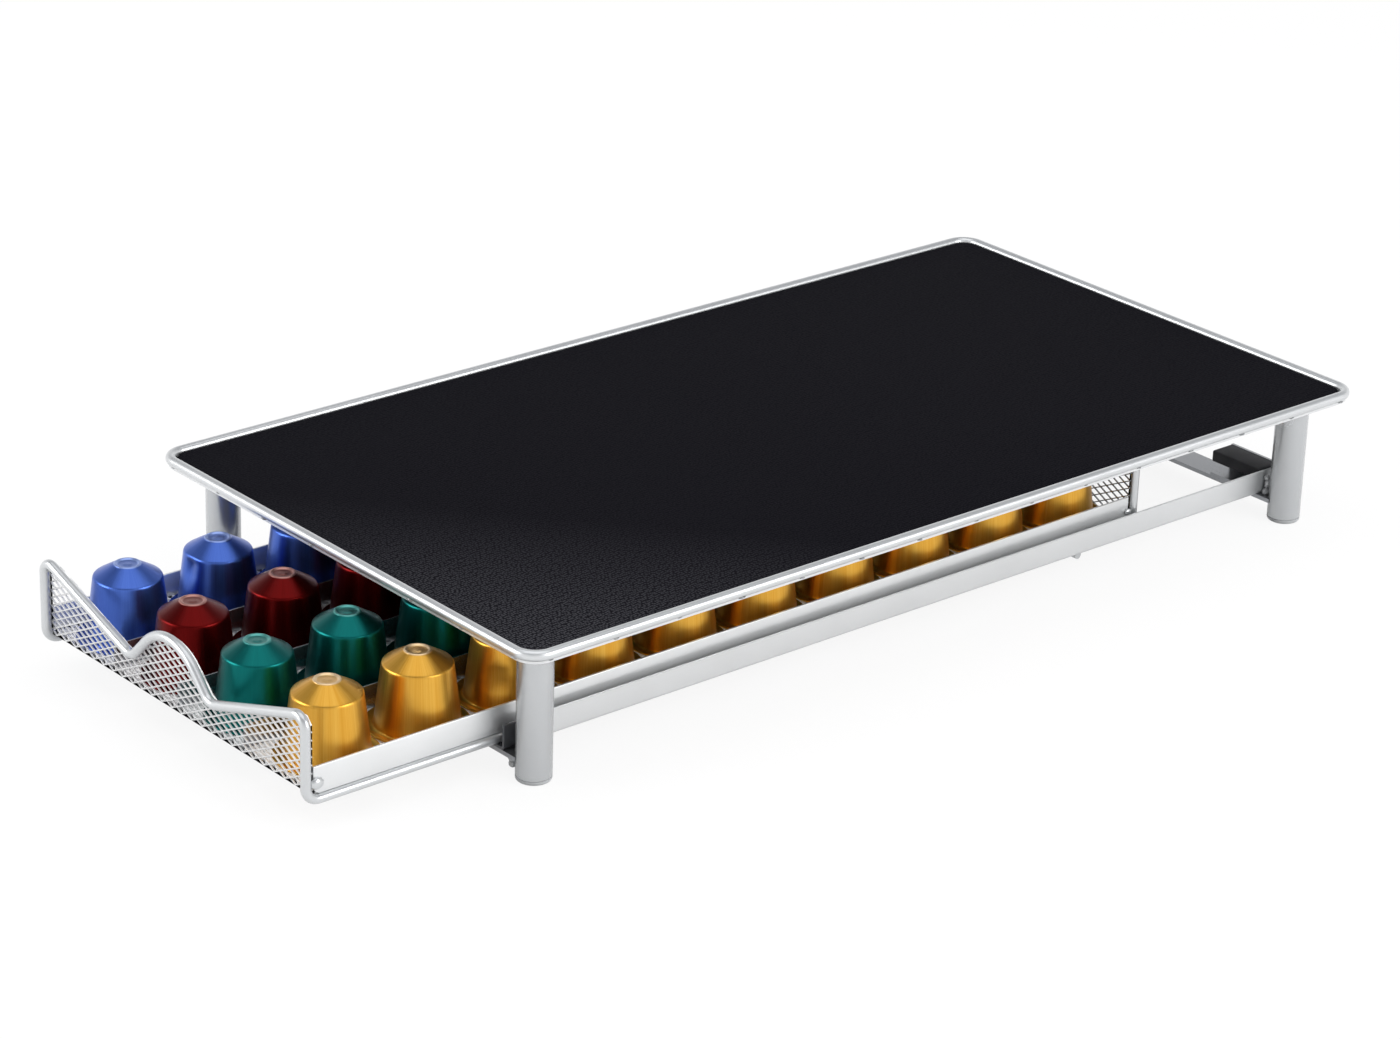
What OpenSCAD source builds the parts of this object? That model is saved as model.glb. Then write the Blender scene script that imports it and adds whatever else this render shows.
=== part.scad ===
// Coffee pod drawer: a low stand with a non-slip top and a wire drawer for forty pods.
// Units are millimetres, +Z is up and the drawer opens towards -Y.

/* [Pods] */
// Diameter of the rim around the base of a pod
pod_rim_d = 37; // [35:0.1:38]
// Height of a pod from the base to the nose
pod_h = 27.8; // [24:0.1:29]
// Diameter of a pod at its shoulder, where the cone starts
pod_top_d = 24.4; // [20:0.1:26]
// Diameter of the raised ring on the nose of a pod
pod_nose_d = 9.2; // [7:0.1:11]
// Height of the cone between the shoulder and the nose
pod_cone_h = 4.3; // [3:0.1:6]
// Wall of a pod, thick enough that the hollow shell weighs as much as a full pod
pod_wall = 0.6; // [0.3:0.1:1]
// Number of pods in each lane
pods_per_lane = 10; // [7:1:12]
// Play left across a lane beside the pod rims
lane_play = 1.1; // [0.6:0.1:3]
// Play left along a lane in front of and behind all its pods
row_play = 7.8; // [4:0.1:20]

/* [Drawer] */
// Diameter of the wire the drawer frame is bent from
frame_wire_d = 3.6; // [3:0.1:4.5]
// How far the drawer is pulled out of the stand
drawer_open = 64; // [0:1:250]
// Height of the tall front corners over the middle of the side wires
front_corner_h = 33.4; // [26:0.1:33.5]
// Height of the two dips in the front outline over the side wires
front_dip_h = 14; // [12:0.1:16]
// Height of the central grip over the side wires
grip_h = 29.2; // [26:0.1:32]
// Distance of each dip from the middle of the front
dip_x = 23.5; // [22:0.5:30]
// Radius of the bend over the central grip
grip_r = 20.2; // [16:0.1:21]
// Height of the rear panel over the side wires
rear_panel_h = 29; // [20:0.5:33]
// Height of the flat bands along both sides, up to the top of the lane dividers
band_h = 10; // [6:0.5:16]
// Thickness of the side bands
band_t = 1; // [0.8:0.1:1.5]
// Thickness of the lane dividers
divider_t = 0.8; // [0.6:0.1:1.2]

/* [Expanded mesh] */
// Long way of one mesh diamond in the front and rear panels
mesh_long = 6; // [5:0.5:12]
// Short way of one mesh diamond in the front and rear panels
mesh_short = 3; // [2.5:0.1:6]
// Width of a mesh strand in the front and rear panels
mesh_strand = 0.9; // [0.7:0.1:1.2]
// Thickness of the front and rear mesh
mesh_t = 0.9; // [0.6:0.1:1.2]
// Thickness of the floor mesh
floor_t = 1.2; // [0.8:0.1:1.5]
// Short way of one opening in the floor mesh
floor_short = 12; // [10:0.5:20]

/* [Stand] */
// Height of the tabletop sheet above the ground
table_h = 51.8; // [50.5:0.1:70]
// Thickness of the tabletop sheet
plate_t = 0.9; // [0.7:0.1:2]
// Diameter of the wire rim around the tabletop
rim_wire_d = 3.8; // [3:0.1:5]
// Radius of the rim corners, to the middle of the wire
rim_corner_r = 8; // [6:0.5:14]
// Thickness of the non-slip mat
mat_t = 2.4; // [1.5:0.1:3.4]
// Gap between the mat and the rim wire
mat_gap = 0.7; // [0.4:0.1:2]
// Overhang of the tabletop beyond the middle of a leg, sideways
overhang_x = 18.3; // [12:0.1:25]
// Overhang of the tabletop beyond the middle of a leg, lengthwise
overhang_y = 17; // [14:0.1:24]
// Outer diameter of the tube legs
leg_d = 12.7; // [10:0.1:16]
// Wall of the tube legs
leg_wall = 1.2; // [0.8:0.1:2]

/* [Rails] */
// Height of the rail underside above the ground
rail_z = 8.6; // [7.6:0.1:9.4]
// Height of the upright wall of a rail
rail_h = 9.6; // [6:0.1:12]
// Sheet thickness of the rails
rail_t = 1; // [0.8:0.1:1.5]
// Width of the ledge the drawer runs on
ledge_w = 11.6; // [9:0.1:13]
// Width of the two flat cross strips
strip_w = 12; // [8:0.5:16]
// Thickness of the two flat cross strips
strip_t = 1.6; // [1.2:0.1:2]
// Gap between a rail and a leg, bridged by the cross strips
rail_gap = 2.3; // [1.5:0.1:6]
// Free width between a drawer side wire and the rail wall
side_play = 1.8; // [0.8:0.1:3]
// Free height between a drawer side wire and the ledge
glide_gap = 0.2; // [0.1:0.05:0.3]

/* [Stops] */
// Length of the rear stops, measured across the stand
stop_l = 24; // [20:0.5:30]
// Height of the rear stops above the ledge
stop_h = 9.4; // [8:0.1:12]
// Sheet thickness of the stop brackets
stop_t = 1.2; // [0.8:0.1:2]
// Thickness of the soft bumper on each stop
bumper_h = 4.6; // [3:0.1:6]
// Diameter of the hook wire under the drawer
hook_wire_d = 3; // [2.5:0.1:3.2]
// Distance of the hook wire from the rear of the drawer
hook_back = 29.5; // [20:0.5:60]

/* [Hidden] */
$fn = 32;

lanes = 4;
wire_r = frame_wire_d / 2;
rim_r = rim_wire_d / 2;

// Lanes and drawer widths, worked out from the pods outwards
lane_w = pod_rim_d + lane_play;
lane_pitch = lane_w + divider_t;
band_in = (lanes * lane_w + (lanes - 1) * divider_t) / 2;
side_x = band_in + band_t / 2 + 0.1;
rail_in = side_x + wire_r + side_play;
rail_out = rail_in + rail_t;
leg_x = rail_out + rail_gap + leg_d / 2;
top_w = 2 * (leg_x + overhang_x);

// Drawer lengths; front_y and rear_y are the middles of the frame wire
// Room that the spot welds leave between the frame wire and the sheets on it
seat_gap = 0.1;
inner_l = pods_per_lane * pod_rim_d + row_play;
drawer_l = inner_l + 2 * (wire_r + seat_gap + mesh_t);
stop_gap = 0.2;
front_lip = 3;
top_l = drawer_l + stop_gap + wire_r + strip_w / 2 + overhang_y - front_lip;
leg_front = overhang_y;
leg_rear = top_l - overhang_y;
stop_y = leg_rear - strip_w / 2;
rear_y = stop_y - stop_gap - wire_r - drawer_open;
front_y = rear_y - drawer_l;
mesh_front = front_y + wire_r + seat_gap;
mesh_rear = rear_y - wire_r - seat_gap;

// Heights
ledge_z = rail_z + rail_t;
side_z = ledge_z + glide_gap + wire_r;
floor_z = side_z + wire_r + seat_gap;
pod_z = floor_z + floor_t;
hook_z = rail_z - 0.3 - hook_wire_d / 2;

// The stand and the drawer are drawn from the rim front and moved to the middle of both
lowest_y = min(0, front_y - wire_r);
mid_y = (lowest_y + top_l) / 2;

// ---------- helpers ----------

function unit(v) = v / norm(v);
function along(a, b, t) = a + t * (b - a);

// Straight piece of round wire between two points
module rod(a, b, d) {
  v = b - a;
  l = norm(v);
  turn = atan2(v[1], v[0]);
  tip = acos(v[2] / l);
  translate(a) rotate([0, tip, turn]) cylinder(d = d, h = l);
}

// Distance from a corner to the start of a bend of radius r
function cut_back(a, b, c, r) = r / tan(acos(unit(a - b) * unit(c - b)) / 2);

// Bend of radius r at corner b between the directions to a and c. It is a hair thinner than the
// straight wire and runs a little way into it at both ends, so that each joint is one clean step.
module elbow(a, b, c, r, d) {
  u = unit(a - b);
  v = unit(c - b);
  half = acos(u * v) / 2;
  mid = b + unit(u + v) * r / sin(half);
  x = unit(b + u * r / tan(half) - mid);
  z = unit(cross(v, u));
  y = cross(z, x);
  lap = acos(1 - 0.004 / r);
  multmatrix([
    [x[0], y[0], z[0], mid[0]],
    [x[1], y[1], z[1], mid[1]],
    [x[2], y[2], z[2], mid[2]],
    [0, 0, 0, 1]
  ])
  rotate([0, 0, -lap]) rotate_extrude(angle = 180 - 2 * half + 2 * lap, $fn = 64)
  translate([r, 0]) circle(d = d - 0.02);
}

// Wire bent along a list of [point, bend radius]; closed joins the last to the first
module bent_wire(path, d, closed = true) {
  n = len(path);
  last = closed ? n - 1 : n - 2;
  for (i = [0 : last]) {
    a = path[i][0];
    b = path[(i + 1) % n][0];
    before = path[(i + n - 1) % n][0];
    after = path[(i + 2) % n][0];
    start = (closed || i > 0) ? cut_back(before, a, b, path[i][1]) : 0;
    stop = (closed || i < n - 2) ? cut_back(a, b, after, path[(i + 1) % n][1]) : 0;
    l = norm(b - a);
    rod(along(a, b, start / l), along(a, b, 1 - stop / l), d);
    if (closed || i < n - 2) elbow(a, b, after, path[(i + 1) % n][1], d);
  }
}

// Rectangle with rounded corners, from one corner point to the opposite one
module soft_rect(p, q, r) {
  difference() {
    translate(p) square(q - p);
    for (sx = [0, 1], sy = [0, 1]) {
      corner = [sx ? q[0] : p[0], sy ? q[1] : p[1]];
      inward = [sx ? -1 : 1, sy ? -1 : 1];
      difference() {
        translate(corner + [inward[0] * r / 2, inward[1] * r / 2]) square(r + 0.001, center = true);
        translate(corner + inward * r) circle(r = r, $fn = 48);
      }
    }
  }
}

// Diamond openings in rows that are offset by half an opening
module diamonds(x0, x1, z0, z1, long, short, strand) {
  hx = (long - strand * 1.9) / 2;
  hz = (short - strand) / 2;
  rows = ceil((z1 - z0) / (short / 2));
  cols = ceil((x1 - x0) / long);
  for (j = [0 : rows], i = [0 : cols]) {
    x = x0 + (i + (j % 2) / 2) * long;
    z = z0 + j * short / 2;
    if (x - hx > x0 && x + hx < x1 && z - hz > z0 && z + hz < z1)
      translate([x, z]) polygon([[-hx, 0], [0, -hz], [hx, 0], [0, hz]]);
  }
}

// Mirrored copies on the left and the right
module both_sides() {
  children();
  mirror([1, 0, 0]) children();
}

module stand_frame() translate([0, -mid_y, 0]) children();

// ---------- tabletop ----------

rim_x = top_w / 2 - rim_r;
// How far the sheet reaches beyond the middle of the rim wire
plate_lip = 0.6;
module top_rim_wire() {
  z = table_h + plate_t + rim_r;
  path = [
    [[rim_x, rim_r, z], rim_corner_r],
    [[rim_x, top_l - rim_r, z], rim_corner_r],
    [[-rim_x, top_l - rim_r, z], rim_corner_r],
    [[-rim_x, rim_r, z], rim_corner_r]
  ];
  color("silver") stand_frame() bent_wire(path, rim_wire_d);
}

module top_plate() {
  out = plate_lip - rim_r;
  p = [-top_w / 2 - out, -out];
  q = [top_w / 2 + out, top_l + out];
  color("silver") stand_frame() translate([0, 0, table_h]) linear_extrude(plate_t)
    soft_rect(p, q, rim_corner_r + plate_lip);
}

mat_in = 2 * rim_r + mat_gap;
module non_slip_mat() {
  p = [-top_w / 2 + mat_in, mat_in];
  q = [top_w / 2 - mat_in, top_l - mat_in];
  color("#202024") stand_frame() translate([0, 0, table_h + plate_t]) linear_extrude(mat_t)
    soft_rect(p, q, rim_corner_r - rim_r - mat_gap);
}

// ---------- legs ----------

cap_h = 1.6;
plug_l = 8;
module leg(x, y) {
  color("silver") stand_frame() translate([x, y, cap_h]) difference() {
    cylinder(d = leg_d, h = table_h - cap_h);
    translate([0, 0, -1]) cylinder(d = leg_d - 2 * leg_wall, h = table_h - cap_h - 1);
  }
}
module front_left_leg() leg(-leg_x, leg_front);
module front_right_leg() leg(leg_x, leg_front);
module rear_left_leg() leg(-leg_x, leg_rear);
module rear_right_leg() leg(leg_x, leg_rear);

// Rounded plug in the open end of each tube
module leg_plugs() {
  r = leg_d / 2;
  color("#b8babd") stand_frame() both_sides() for (y = [leg_front, leg_rear])
    translate([leg_x, y, 0]) {
      rotate_extrude($fn = 48) difference() {
        square([r, cap_h]);
        difference() {
          translate([r - 1.2, -0.1]) square([1.3, 1.3]);
          translate([r - 1.2, 1.2]) circle(r = 1.2);
        }
      }
      translate([0, 0, cap_h]) cylinder(d = leg_d - 2 * leg_wall - 0.1, h = plug_l);
    }
}

// ---------- rails, strips and stops ----------

// Angle section: an upright wall and an inward ledge with a small outer bend
module rail_section() {
  bend = 1.6;
  difference() {
    union() {
      translate([rail_in, rail_z]) square([rail_t, rail_h]);
      translate([rail_out - ledge_w, rail_z]) square([ledge_w, rail_t]);
    }
    difference() {
      translate([rail_out - bend / 2, rail_z + bend / 2]) square(bend + 0.001, center = true);
      translate([rail_out - bend, rail_z + bend]) circle(r = bend);
    }
  }
}
module right_rail_solid() {
  l = leg_rear + strip_w / 2 - (leg_front - strip_w / 2);
  translate([0, leg_rear + strip_w / 2, 0]) rotate([90, 0, 0]) linear_extrude(l) rail_section();
}
module right_rail() color("silver") stand_frame() right_rail_solid();
module left_rail() color("silver") stand_frame() mirror([1, 0, 0]) right_rail_solid();

// Flat strip under both rails, its ends cut to fit around the legs
module cross_strip(y) {
  color("silver") stand_frame() difference() {
    translate([-leg_x, y - strip_w / 2, rail_z - strip_t]) cube([2 * leg_x, strip_w, strip_t]);
    both_sides() translate([leg_x, y, 0]) cylinder(d = leg_d + 0.1, h = table_h);
    both_sides() translate([leg_x - 0.45 * leg_d / 2, y - strip_w, 0])
      cube([leg_d, 2 * strip_w, table_h]);
  }
}
module front_cross_strip() cross_strip(leg_front);
module rear_cross_strip() cross_strip(leg_rear);

stop_x1 = rail_in - 0.2;
stop_x0 = stop_x1 - stop_l;
// Folded sheet: a foot on the cross strip and an upright wall behind the bumper
module stop_bracket() {
  foot_w = rail_out - ledge_w - 0.2 - stop_x0;
  y1 = leg_rear + strip_w / 2;
  translate([stop_x0, stop_y, rail_z]) cube([foot_w, strip_w, stop_t]);
  translate([stop_x0, y1 - stop_t, rail_z]) cube([foot_w, stop_t, ledge_z - rail_z + stop_h]);
  translate([stop_x0, y1 - stop_t, ledge_z + 0.2]) cube([stop_l, stop_t, stop_h - 0.2]);
}
module right_stop_bracket() color("silver") stand_frame() stop_bracket();
module left_stop_bracket() color("silver") stand_frame() mirror([1, 0, 0]) stop_bracket();

module bumper() {
  translate([0, 0, ledge_z + stop_h - bumper_h]) linear_extrude(bumper_h)
    soft_rect([stop_x0, stop_y], [stop_x1, leg_rear + strip_w / 2 - stop_t], 0.8);
}
module right_bumper() color("#222226") stand_frame() bumper();
module left_bumper() color("#222226") stand_frame() mirror([1, 0, 0]) bumper();

// Bead beside a leg, on one face of a cross strip: up is 1 for the upper face, -1 for the lower
module weld_bead(y, side, r, up) {
  z = up > 0 ? rail_z : rail_z - strip_t;
  difference() {
    translate([leg_x - leg_d / 2, y + side * 3.5, z]) sphere(r = r);
    translate([leg_x, y, 0]) cylinder(d = leg_d, h = table_h);
    translate([0, y - strip_w, 0]) cube([rail_out + 0.05, 2 * strip_w, table_h]);
    translate([0, y - strip_w, up > 0 ? z - 2 * r : z]) cube([2 * leg_x, 2 * strip_w, 2 * r]);
  }
}

// Two beads at each leg join the cross strips to the legs
module weld_beads() {
  color("silver") stand_frame() both_sides() for (end = [0, 1]) {
    y = end ? leg_rear : leg_front;
    side = end ? 1 : -1;
    weld_bead(y, side, 2.1, -1);
    weld_bead(y, -side, 1.7, 1);
  }
}

// ---------- drawer ----------

corner_z = side_z + front_corner_h;
dip_z = side_z + front_dip_h;
grip_z = side_z + grip_h;

// Slope of the straight flanks of the grip, and where they would meet above its rounded top
grip_mid = grip_z - grip_r;
to_mid = [dip_x, grip_mid - dip_z];
flank = atan2(to_mid[1], to_mid[0]) + asin(grip_r / norm(to_mid));
grip_peak = dip_z + dip_x * tan(flank);

corner_r = 4.2;
foot_r = 5;
dip_r = 3;
rear_z = side_z + rear_panel_h;

function at_front(x, z) = [x, front_y, z];
function at_rear(x, z) = [x, rear_y, z];

module drawer_wire_frame() {
  path = [
    [at_rear(side_x, side_z), foot_r],
    [at_front(side_x, side_z), foot_r],
    [at_front(side_x, corner_z), corner_r],
    [at_front(dip_x, dip_z), dip_r],
    [at_front(0, grip_peak), grip_r],
    [at_front(-dip_x, dip_z), dip_r],
    [at_front(-side_x, corner_z), corner_r],
    [at_front(-side_x, side_z), foot_r],
    [at_rear(-side_x, side_z), foot_r],
    [at_rear(-side_x, rear_z), foot_r],
    [at_rear(side_x, rear_z), foot_r]
  ];
  color("silver") stand_frame() bent_wire(path, frame_wire_d);
}

// The front and floor sheets are cut off beside the bends at the feet of the front corners
foot_in = side_x - wire_r - 0.3;

// Outline of the front mesh, drawn a distance inside the middle of the wire
module front_outline(inset) {
  arc = [for (t = [flank : -flank / 12 : -flank])
    [(grip_r - inset) * sin(t), grip_mid + (grip_r - inset) * cos(t)]];
  corner = 2.2;
  right = [
    [foot_in - inset, floor_z + inset],
    [side_x - inset, side_z + foot_r + inset],
    [side_x - inset, corner_z - inset - 4 - corner],
    [side_x - inset - corner, corner_z - inset - 3.4],
    [dip_x + inset * 0.2, dip_z - inset]
  ];
  left = [for (i = [4 : -1 : 0]) [-right[i][0], right[i][1]]];
  polygon(concat(right, arc, left));
}

module front_mesh() {
  color("silver") stand_frame() translate([0, mesh_front + mesh_t, 0]) rotate([90, 0, 0])
    linear_extrude(mesh_t) difference() {
      front_outline(0.2);
      intersection() {
        front_outline(1.5);
        diamonds(-side_x, side_x, floor_z, corner_z, mesh_long, mesh_short, mesh_strand);
      }
    }
}

module rear_mesh() {
  p = [-side_x, floor_z];
  q = [side_x, rear_z];
  color("silver") stand_frame() translate([0, mesh_rear, 0]) rotate([90, 0, 0])
    linear_extrude(mesh_t) difference() {
      soft_rect(p, q, foot_r);
      diamonds(p[0] + 1, q[0] - 1, p[1] + 1, q[1] - 1, mesh_long, mesh_short, mesh_strand);
    }
}

// Floor sheet level with the top of the side wires, between the side bands
module floor_mesh() {
  p = [-band_in, mesh_front + mesh_t];
  q = [band_in, mesh_rear - mesh_t];
  color("silver") stand_frame() translate([0, 0, floor_z]) linear_extrude(floor_t) difference() {
    polygon([
      [-foot_in, p[1]], [foot_in, p[1]], [q[0], front_y + foot_r], [q[0], rear_y - foot_r],
      [foot_in, q[1]], [-foot_in, q[1]], [p[0], rear_y - foot_r], [p[0], front_y + foot_r]
    ]);
    diamonds(p[0] + 1, q[0] - 1, p[1] + 1, q[1] - 1, 2 * floor_short, floor_short, 2.4);
  }
}

// Flat band standing on a side wire, its lower corners rounded to clear the bends of the wire
band_corner_r = 3;
module side_band() {
  l = mesh_rear - mesh_front - 2 * mesh_t;
  translate([band_in, mesh_front + mesh_t, floor_z]) rotate([90, 0, 90]) linear_extrude(band_t)
    difference() {
      square([l, band_h]);
      for (end = [0, 1]) translate([end * l, 0]) mirror([end, 0]) difference() {
        translate([-0.1, -0.1]) square(band_corner_r + 0.1);
        translate([band_corner_r, band_corner_r]) circle(r = band_corner_r);
      }
    }
}
module right_side_band() color("silver") stand_frame() side_band();
module left_side_band() color("silver") stand_frame() mirror([1, 0, 0]) side_band();

module divider(x) {
  l = mesh_rear - mesh_front - 2 * mesh_t;
  color("silver") stand_frame() translate([x - divider_t / 2, mesh_front + mesh_t, pod_z])
    cube([divider_t, l, band_h - floor_t]);
}
module left_divider() divider(-lane_pitch);
module middle_divider() divider(0);
module right_divider() divider(lane_pitch);

// Spot weld on the outside of a band, between its end and the upright wire beside it
module spot_weld(wire_y, sheet_y) {
  x = side_x + wire_r - 0.4;
  z = side_z + 7;
  difference() {
    translate([x, sheet_y, z]) sphere(r = 1.5);
    translate([0, sheet_y - 3, z - 3]) cube([band_in + band_t, 6, 6]);
    translate([side_x, wire_y, z - 3]) cylinder(d = frame_wire_d + 0.1, h = 6);
  }
}
module drawer_welds() {
  color("silver") stand_frame() both_sides() {
    spot_weld(front_y, mesh_front + mesh_t);
    spot_weld(rear_y, mesh_rear - mesh_t);
  }
}

// Wire under the floor whose ends reach below both rails and stop the drawer at full travel
module hook_wire() {
  y = rear_y - hook_back;
  up = floor_z - 0.05 - hook_wire_d / 2;
  in = rail_out - ledge_w;
  bend = 2.5;
  low_x = in - 3;
  high_x = low_x - 1.2 * (up - hook_z);
  path = [
    [[-side_x - 1.4, y, hook_z], bend],
    [[-low_x, y, hook_z], bend],
    [[-high_x, y, up], bend],
    [[high_x, y, up], bend],
    [[low_x, y, hook_z], bend],
    [[side_x + 1.4, y, hook_z], bend]
  ];
  color("silver") stand_frame() bent_wire(path, hook_wire_d, false);
}

// ---------- pods ----------

// Half section of a pod on its sealed base: a rim, a tapered body, a sloping shoulder and a nose
// with a raised ring. A wall of w leaves the space inside; with w = 0 this is the outer form.
module pod_section(w) {
  r = pod_rim_d / 2;
  top = pod_top_d / 2;
  nose = pod_nose_d / 2;
  cone = pod_h - pod_cone_h;
  if (w == 0)
    polygon([
      [0, 0], [r - 0.3, 0], [r, 0.3], [r, 0.9], [r - 0.4, 1.3], [r - 3.2, 1.3],
      [r - 3.6, 1.9], [top, cone - 1.1], [top - 0.3, cone - 0.5], [top - 1, cone],
      [nose + 0.3, pod_h - 0.4], [nose, pod_h], [nose - 0.6, pod_h],
      [nose - 0.9, pod_h - 0.6], [0, pod_h - 0.6]
    ]);
  else
    polygon([
      [0, w], [r - 3.6 - w, w], [top - w, cone - 1.1], [top - 1 - w / 2, cone - w],
      [nose, pod_h - 0.6 - w], [0, pod_h - 0.6 - w]
    ]);
}
module pod() {
  difference() {
    rotate_extrude($fn = 64) pod_section(0);
    rotate_extrude($fn = 64) pod_section(pod_wall);
  }
}

// Share of the play along each lane that is left in front of its first pod
lane_start = [0.02, 0.12, 0.05, 0.15];

// One lane of pods; each stands a little off its even place, as if dropped in
module pod_lane(lane) {
  x = (lane - (lanes - 1) / 2) * lane_pitch;
  before = row_play * lane_start[lane];
  room = (row_play - before) / pods_per_lane;
  first = mesh_front + mesh_t + pod_rim_d / 2 + before;
  for (i = [0 : pods_per_lane - 1]) {
    nudge = 0.4 * room * sin((137 + 20 * lane) * i);
    drift = 0.35 * lane_play * sin(211 * i + 40 * lane);
    translate([x + drift, first + i * (pod_rim_d + room) + nudge, pod_z]) pod();
  }
}
module blue_pods() color("#3a62c0") stand_frame() pod_lane(0);
module red_pods() color("#7d1418") stand_frame() pod_lane(1);
module green_pods() color("#0e6a62") stand_frame() pod_lane(2);
module gold_pods() color("#d9a33a") stand_frame() pod_lane(3);

// ---------- nodes ----------

top_rim_wire();
top_plate();
non_slip_mat();
front_left_leg();
front_right_leg();
rear_left_leg();
rear_right_leg();
leg_plugs();
left_rail();
right_rail();
front_cross_strip();
rear_cross_strip();
left_stop_bracket();
right_stop_bracket();
left_bumper();
right_bumper();
weld_beads();
drawer_wire_frame();
front_mesh();
floor_mesh();
rear_mesh();
left_side_band();
right_side_band();
left_divider();
middle_divider();
right_divider();
drawer_welds();
hook_wire();
blue_pods();
red_pods();
green_pods();
gold_pods();
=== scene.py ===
"""Looks of a coffee pod drawer: a low stand with a patterned mat over a wire drawer of pods.

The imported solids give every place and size. Each class below builds the detailed pieces of one
sub-assembly and dresses them and the solids that stay in procedural finishes.
"""

import logging
import math
from dataclasses import dataclass, field, replace
from enum import Enum
from typing import Any, Callable, Sequence

import bmesh
import bpy
import numpy as np
from mathutils import Matrix, Quaternion, Vector

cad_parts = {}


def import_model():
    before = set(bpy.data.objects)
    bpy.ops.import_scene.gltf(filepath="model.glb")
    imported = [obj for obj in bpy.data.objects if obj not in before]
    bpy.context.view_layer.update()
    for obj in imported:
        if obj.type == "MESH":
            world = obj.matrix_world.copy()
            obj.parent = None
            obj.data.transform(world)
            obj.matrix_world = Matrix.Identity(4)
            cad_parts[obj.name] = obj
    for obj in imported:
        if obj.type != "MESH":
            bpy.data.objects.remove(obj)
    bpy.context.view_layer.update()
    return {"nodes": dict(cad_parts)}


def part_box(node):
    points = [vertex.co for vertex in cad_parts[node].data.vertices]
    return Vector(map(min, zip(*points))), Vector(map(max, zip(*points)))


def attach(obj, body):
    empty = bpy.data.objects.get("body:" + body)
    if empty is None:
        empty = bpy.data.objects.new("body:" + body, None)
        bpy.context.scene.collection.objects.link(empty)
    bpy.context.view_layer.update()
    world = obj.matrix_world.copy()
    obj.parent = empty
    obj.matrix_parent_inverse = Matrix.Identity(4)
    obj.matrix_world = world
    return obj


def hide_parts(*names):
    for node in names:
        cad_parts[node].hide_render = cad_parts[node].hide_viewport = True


log = logging.getLogger("pod_drawer")
MM = 0.001
BEND_STEP = 6.0  # degrees between the points of a wire's bend
Colour = tuple[float, float, float]
Pair = tuple[float, float]
Faces = list[tuple[int, ...]]
Bond = tuple[int, int, int]
Edge = tuple[int, int]


class Body(Enum):
    """The two bodies that pieces ride on."""

    STAND = "stand"
    DRAWER = "drawer"


class Slot(Enum):
    """Names of material slots; only the pod ones are used here, to name the pod lanes."""

    PAINT = "silver_paint"
    WELD = "weld"
    MAT = "mat"
    BUMPER = "bumper"
    MESH = "mesh"
    BLUE_POD = "blue_pod"
    RED_POD = "red_pod"
    GREEN_POD = "green_pod"
    GOLD_POD = "gold_pod"


class Axis(Enum):
    """The axes that a band of painted shade can lie across, as places in a vector."""

    ALONG = 1
    UP = 2


# ---------------------------------------------------------------- shader building


class Value:
    """A shader socket on which sums can be written as Python expressions."""

    def __init__(self, shader: "Shader", socket: bpy.types.NodeSocket) -> None:
        """Wraps one output socket.

        Args:
            shader: the material that the socket belongs to.
            socket: the output socket.
        """
        self.shader = shader
        self.socket = socket

    def _math(self, operation: str, first: Any, second: Any) -> "Value":
        """Adds one Math node for an operation on two values."""
        return self.shader.node("ShaderNodeMath", {"operation": operation}, {0: first, 1: second})

    def __add__(self, other: Any) -> "Value":
        """self + other."""
        return self._math("ADD", self, other)

    def __radd__(self, other: Any) -> "Value":
        """other + self."""
        return self._math("ADD", other, self)

    def __sub__(self, other: Any) -> "Value":
        """self - other."""
        return self._math("SUBTRACT", self, other)

    def __rsub__(self, other: Any) -> "Value":
        """other - self."""
        return self._math("SUBTRACT", other, self)

    def __mul__(self, other: Any) -> "Value":
        """self * other."""
        return self._math("MULTIPLY", self, other)

    def __rmul__(self, other: Any) -> "Value":
        """other * self."""
        return self._math("MULTIPLY", other, self)

    def __truediv__(self, other: Any) -> "Value":
        """self / other."""
        return self._math("DIVIDE", self, other)

    def __pow__(self, other: Any) -> "Value":
        """self to the power of other."""
        return self._math("POWER", self, other)

    def clip(self) -> "Value":
        """self kept between 0 and 1."""
        return self._math("MINIMUM", self._math("MAXIMUM", self, 0.0), 1.0)


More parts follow.
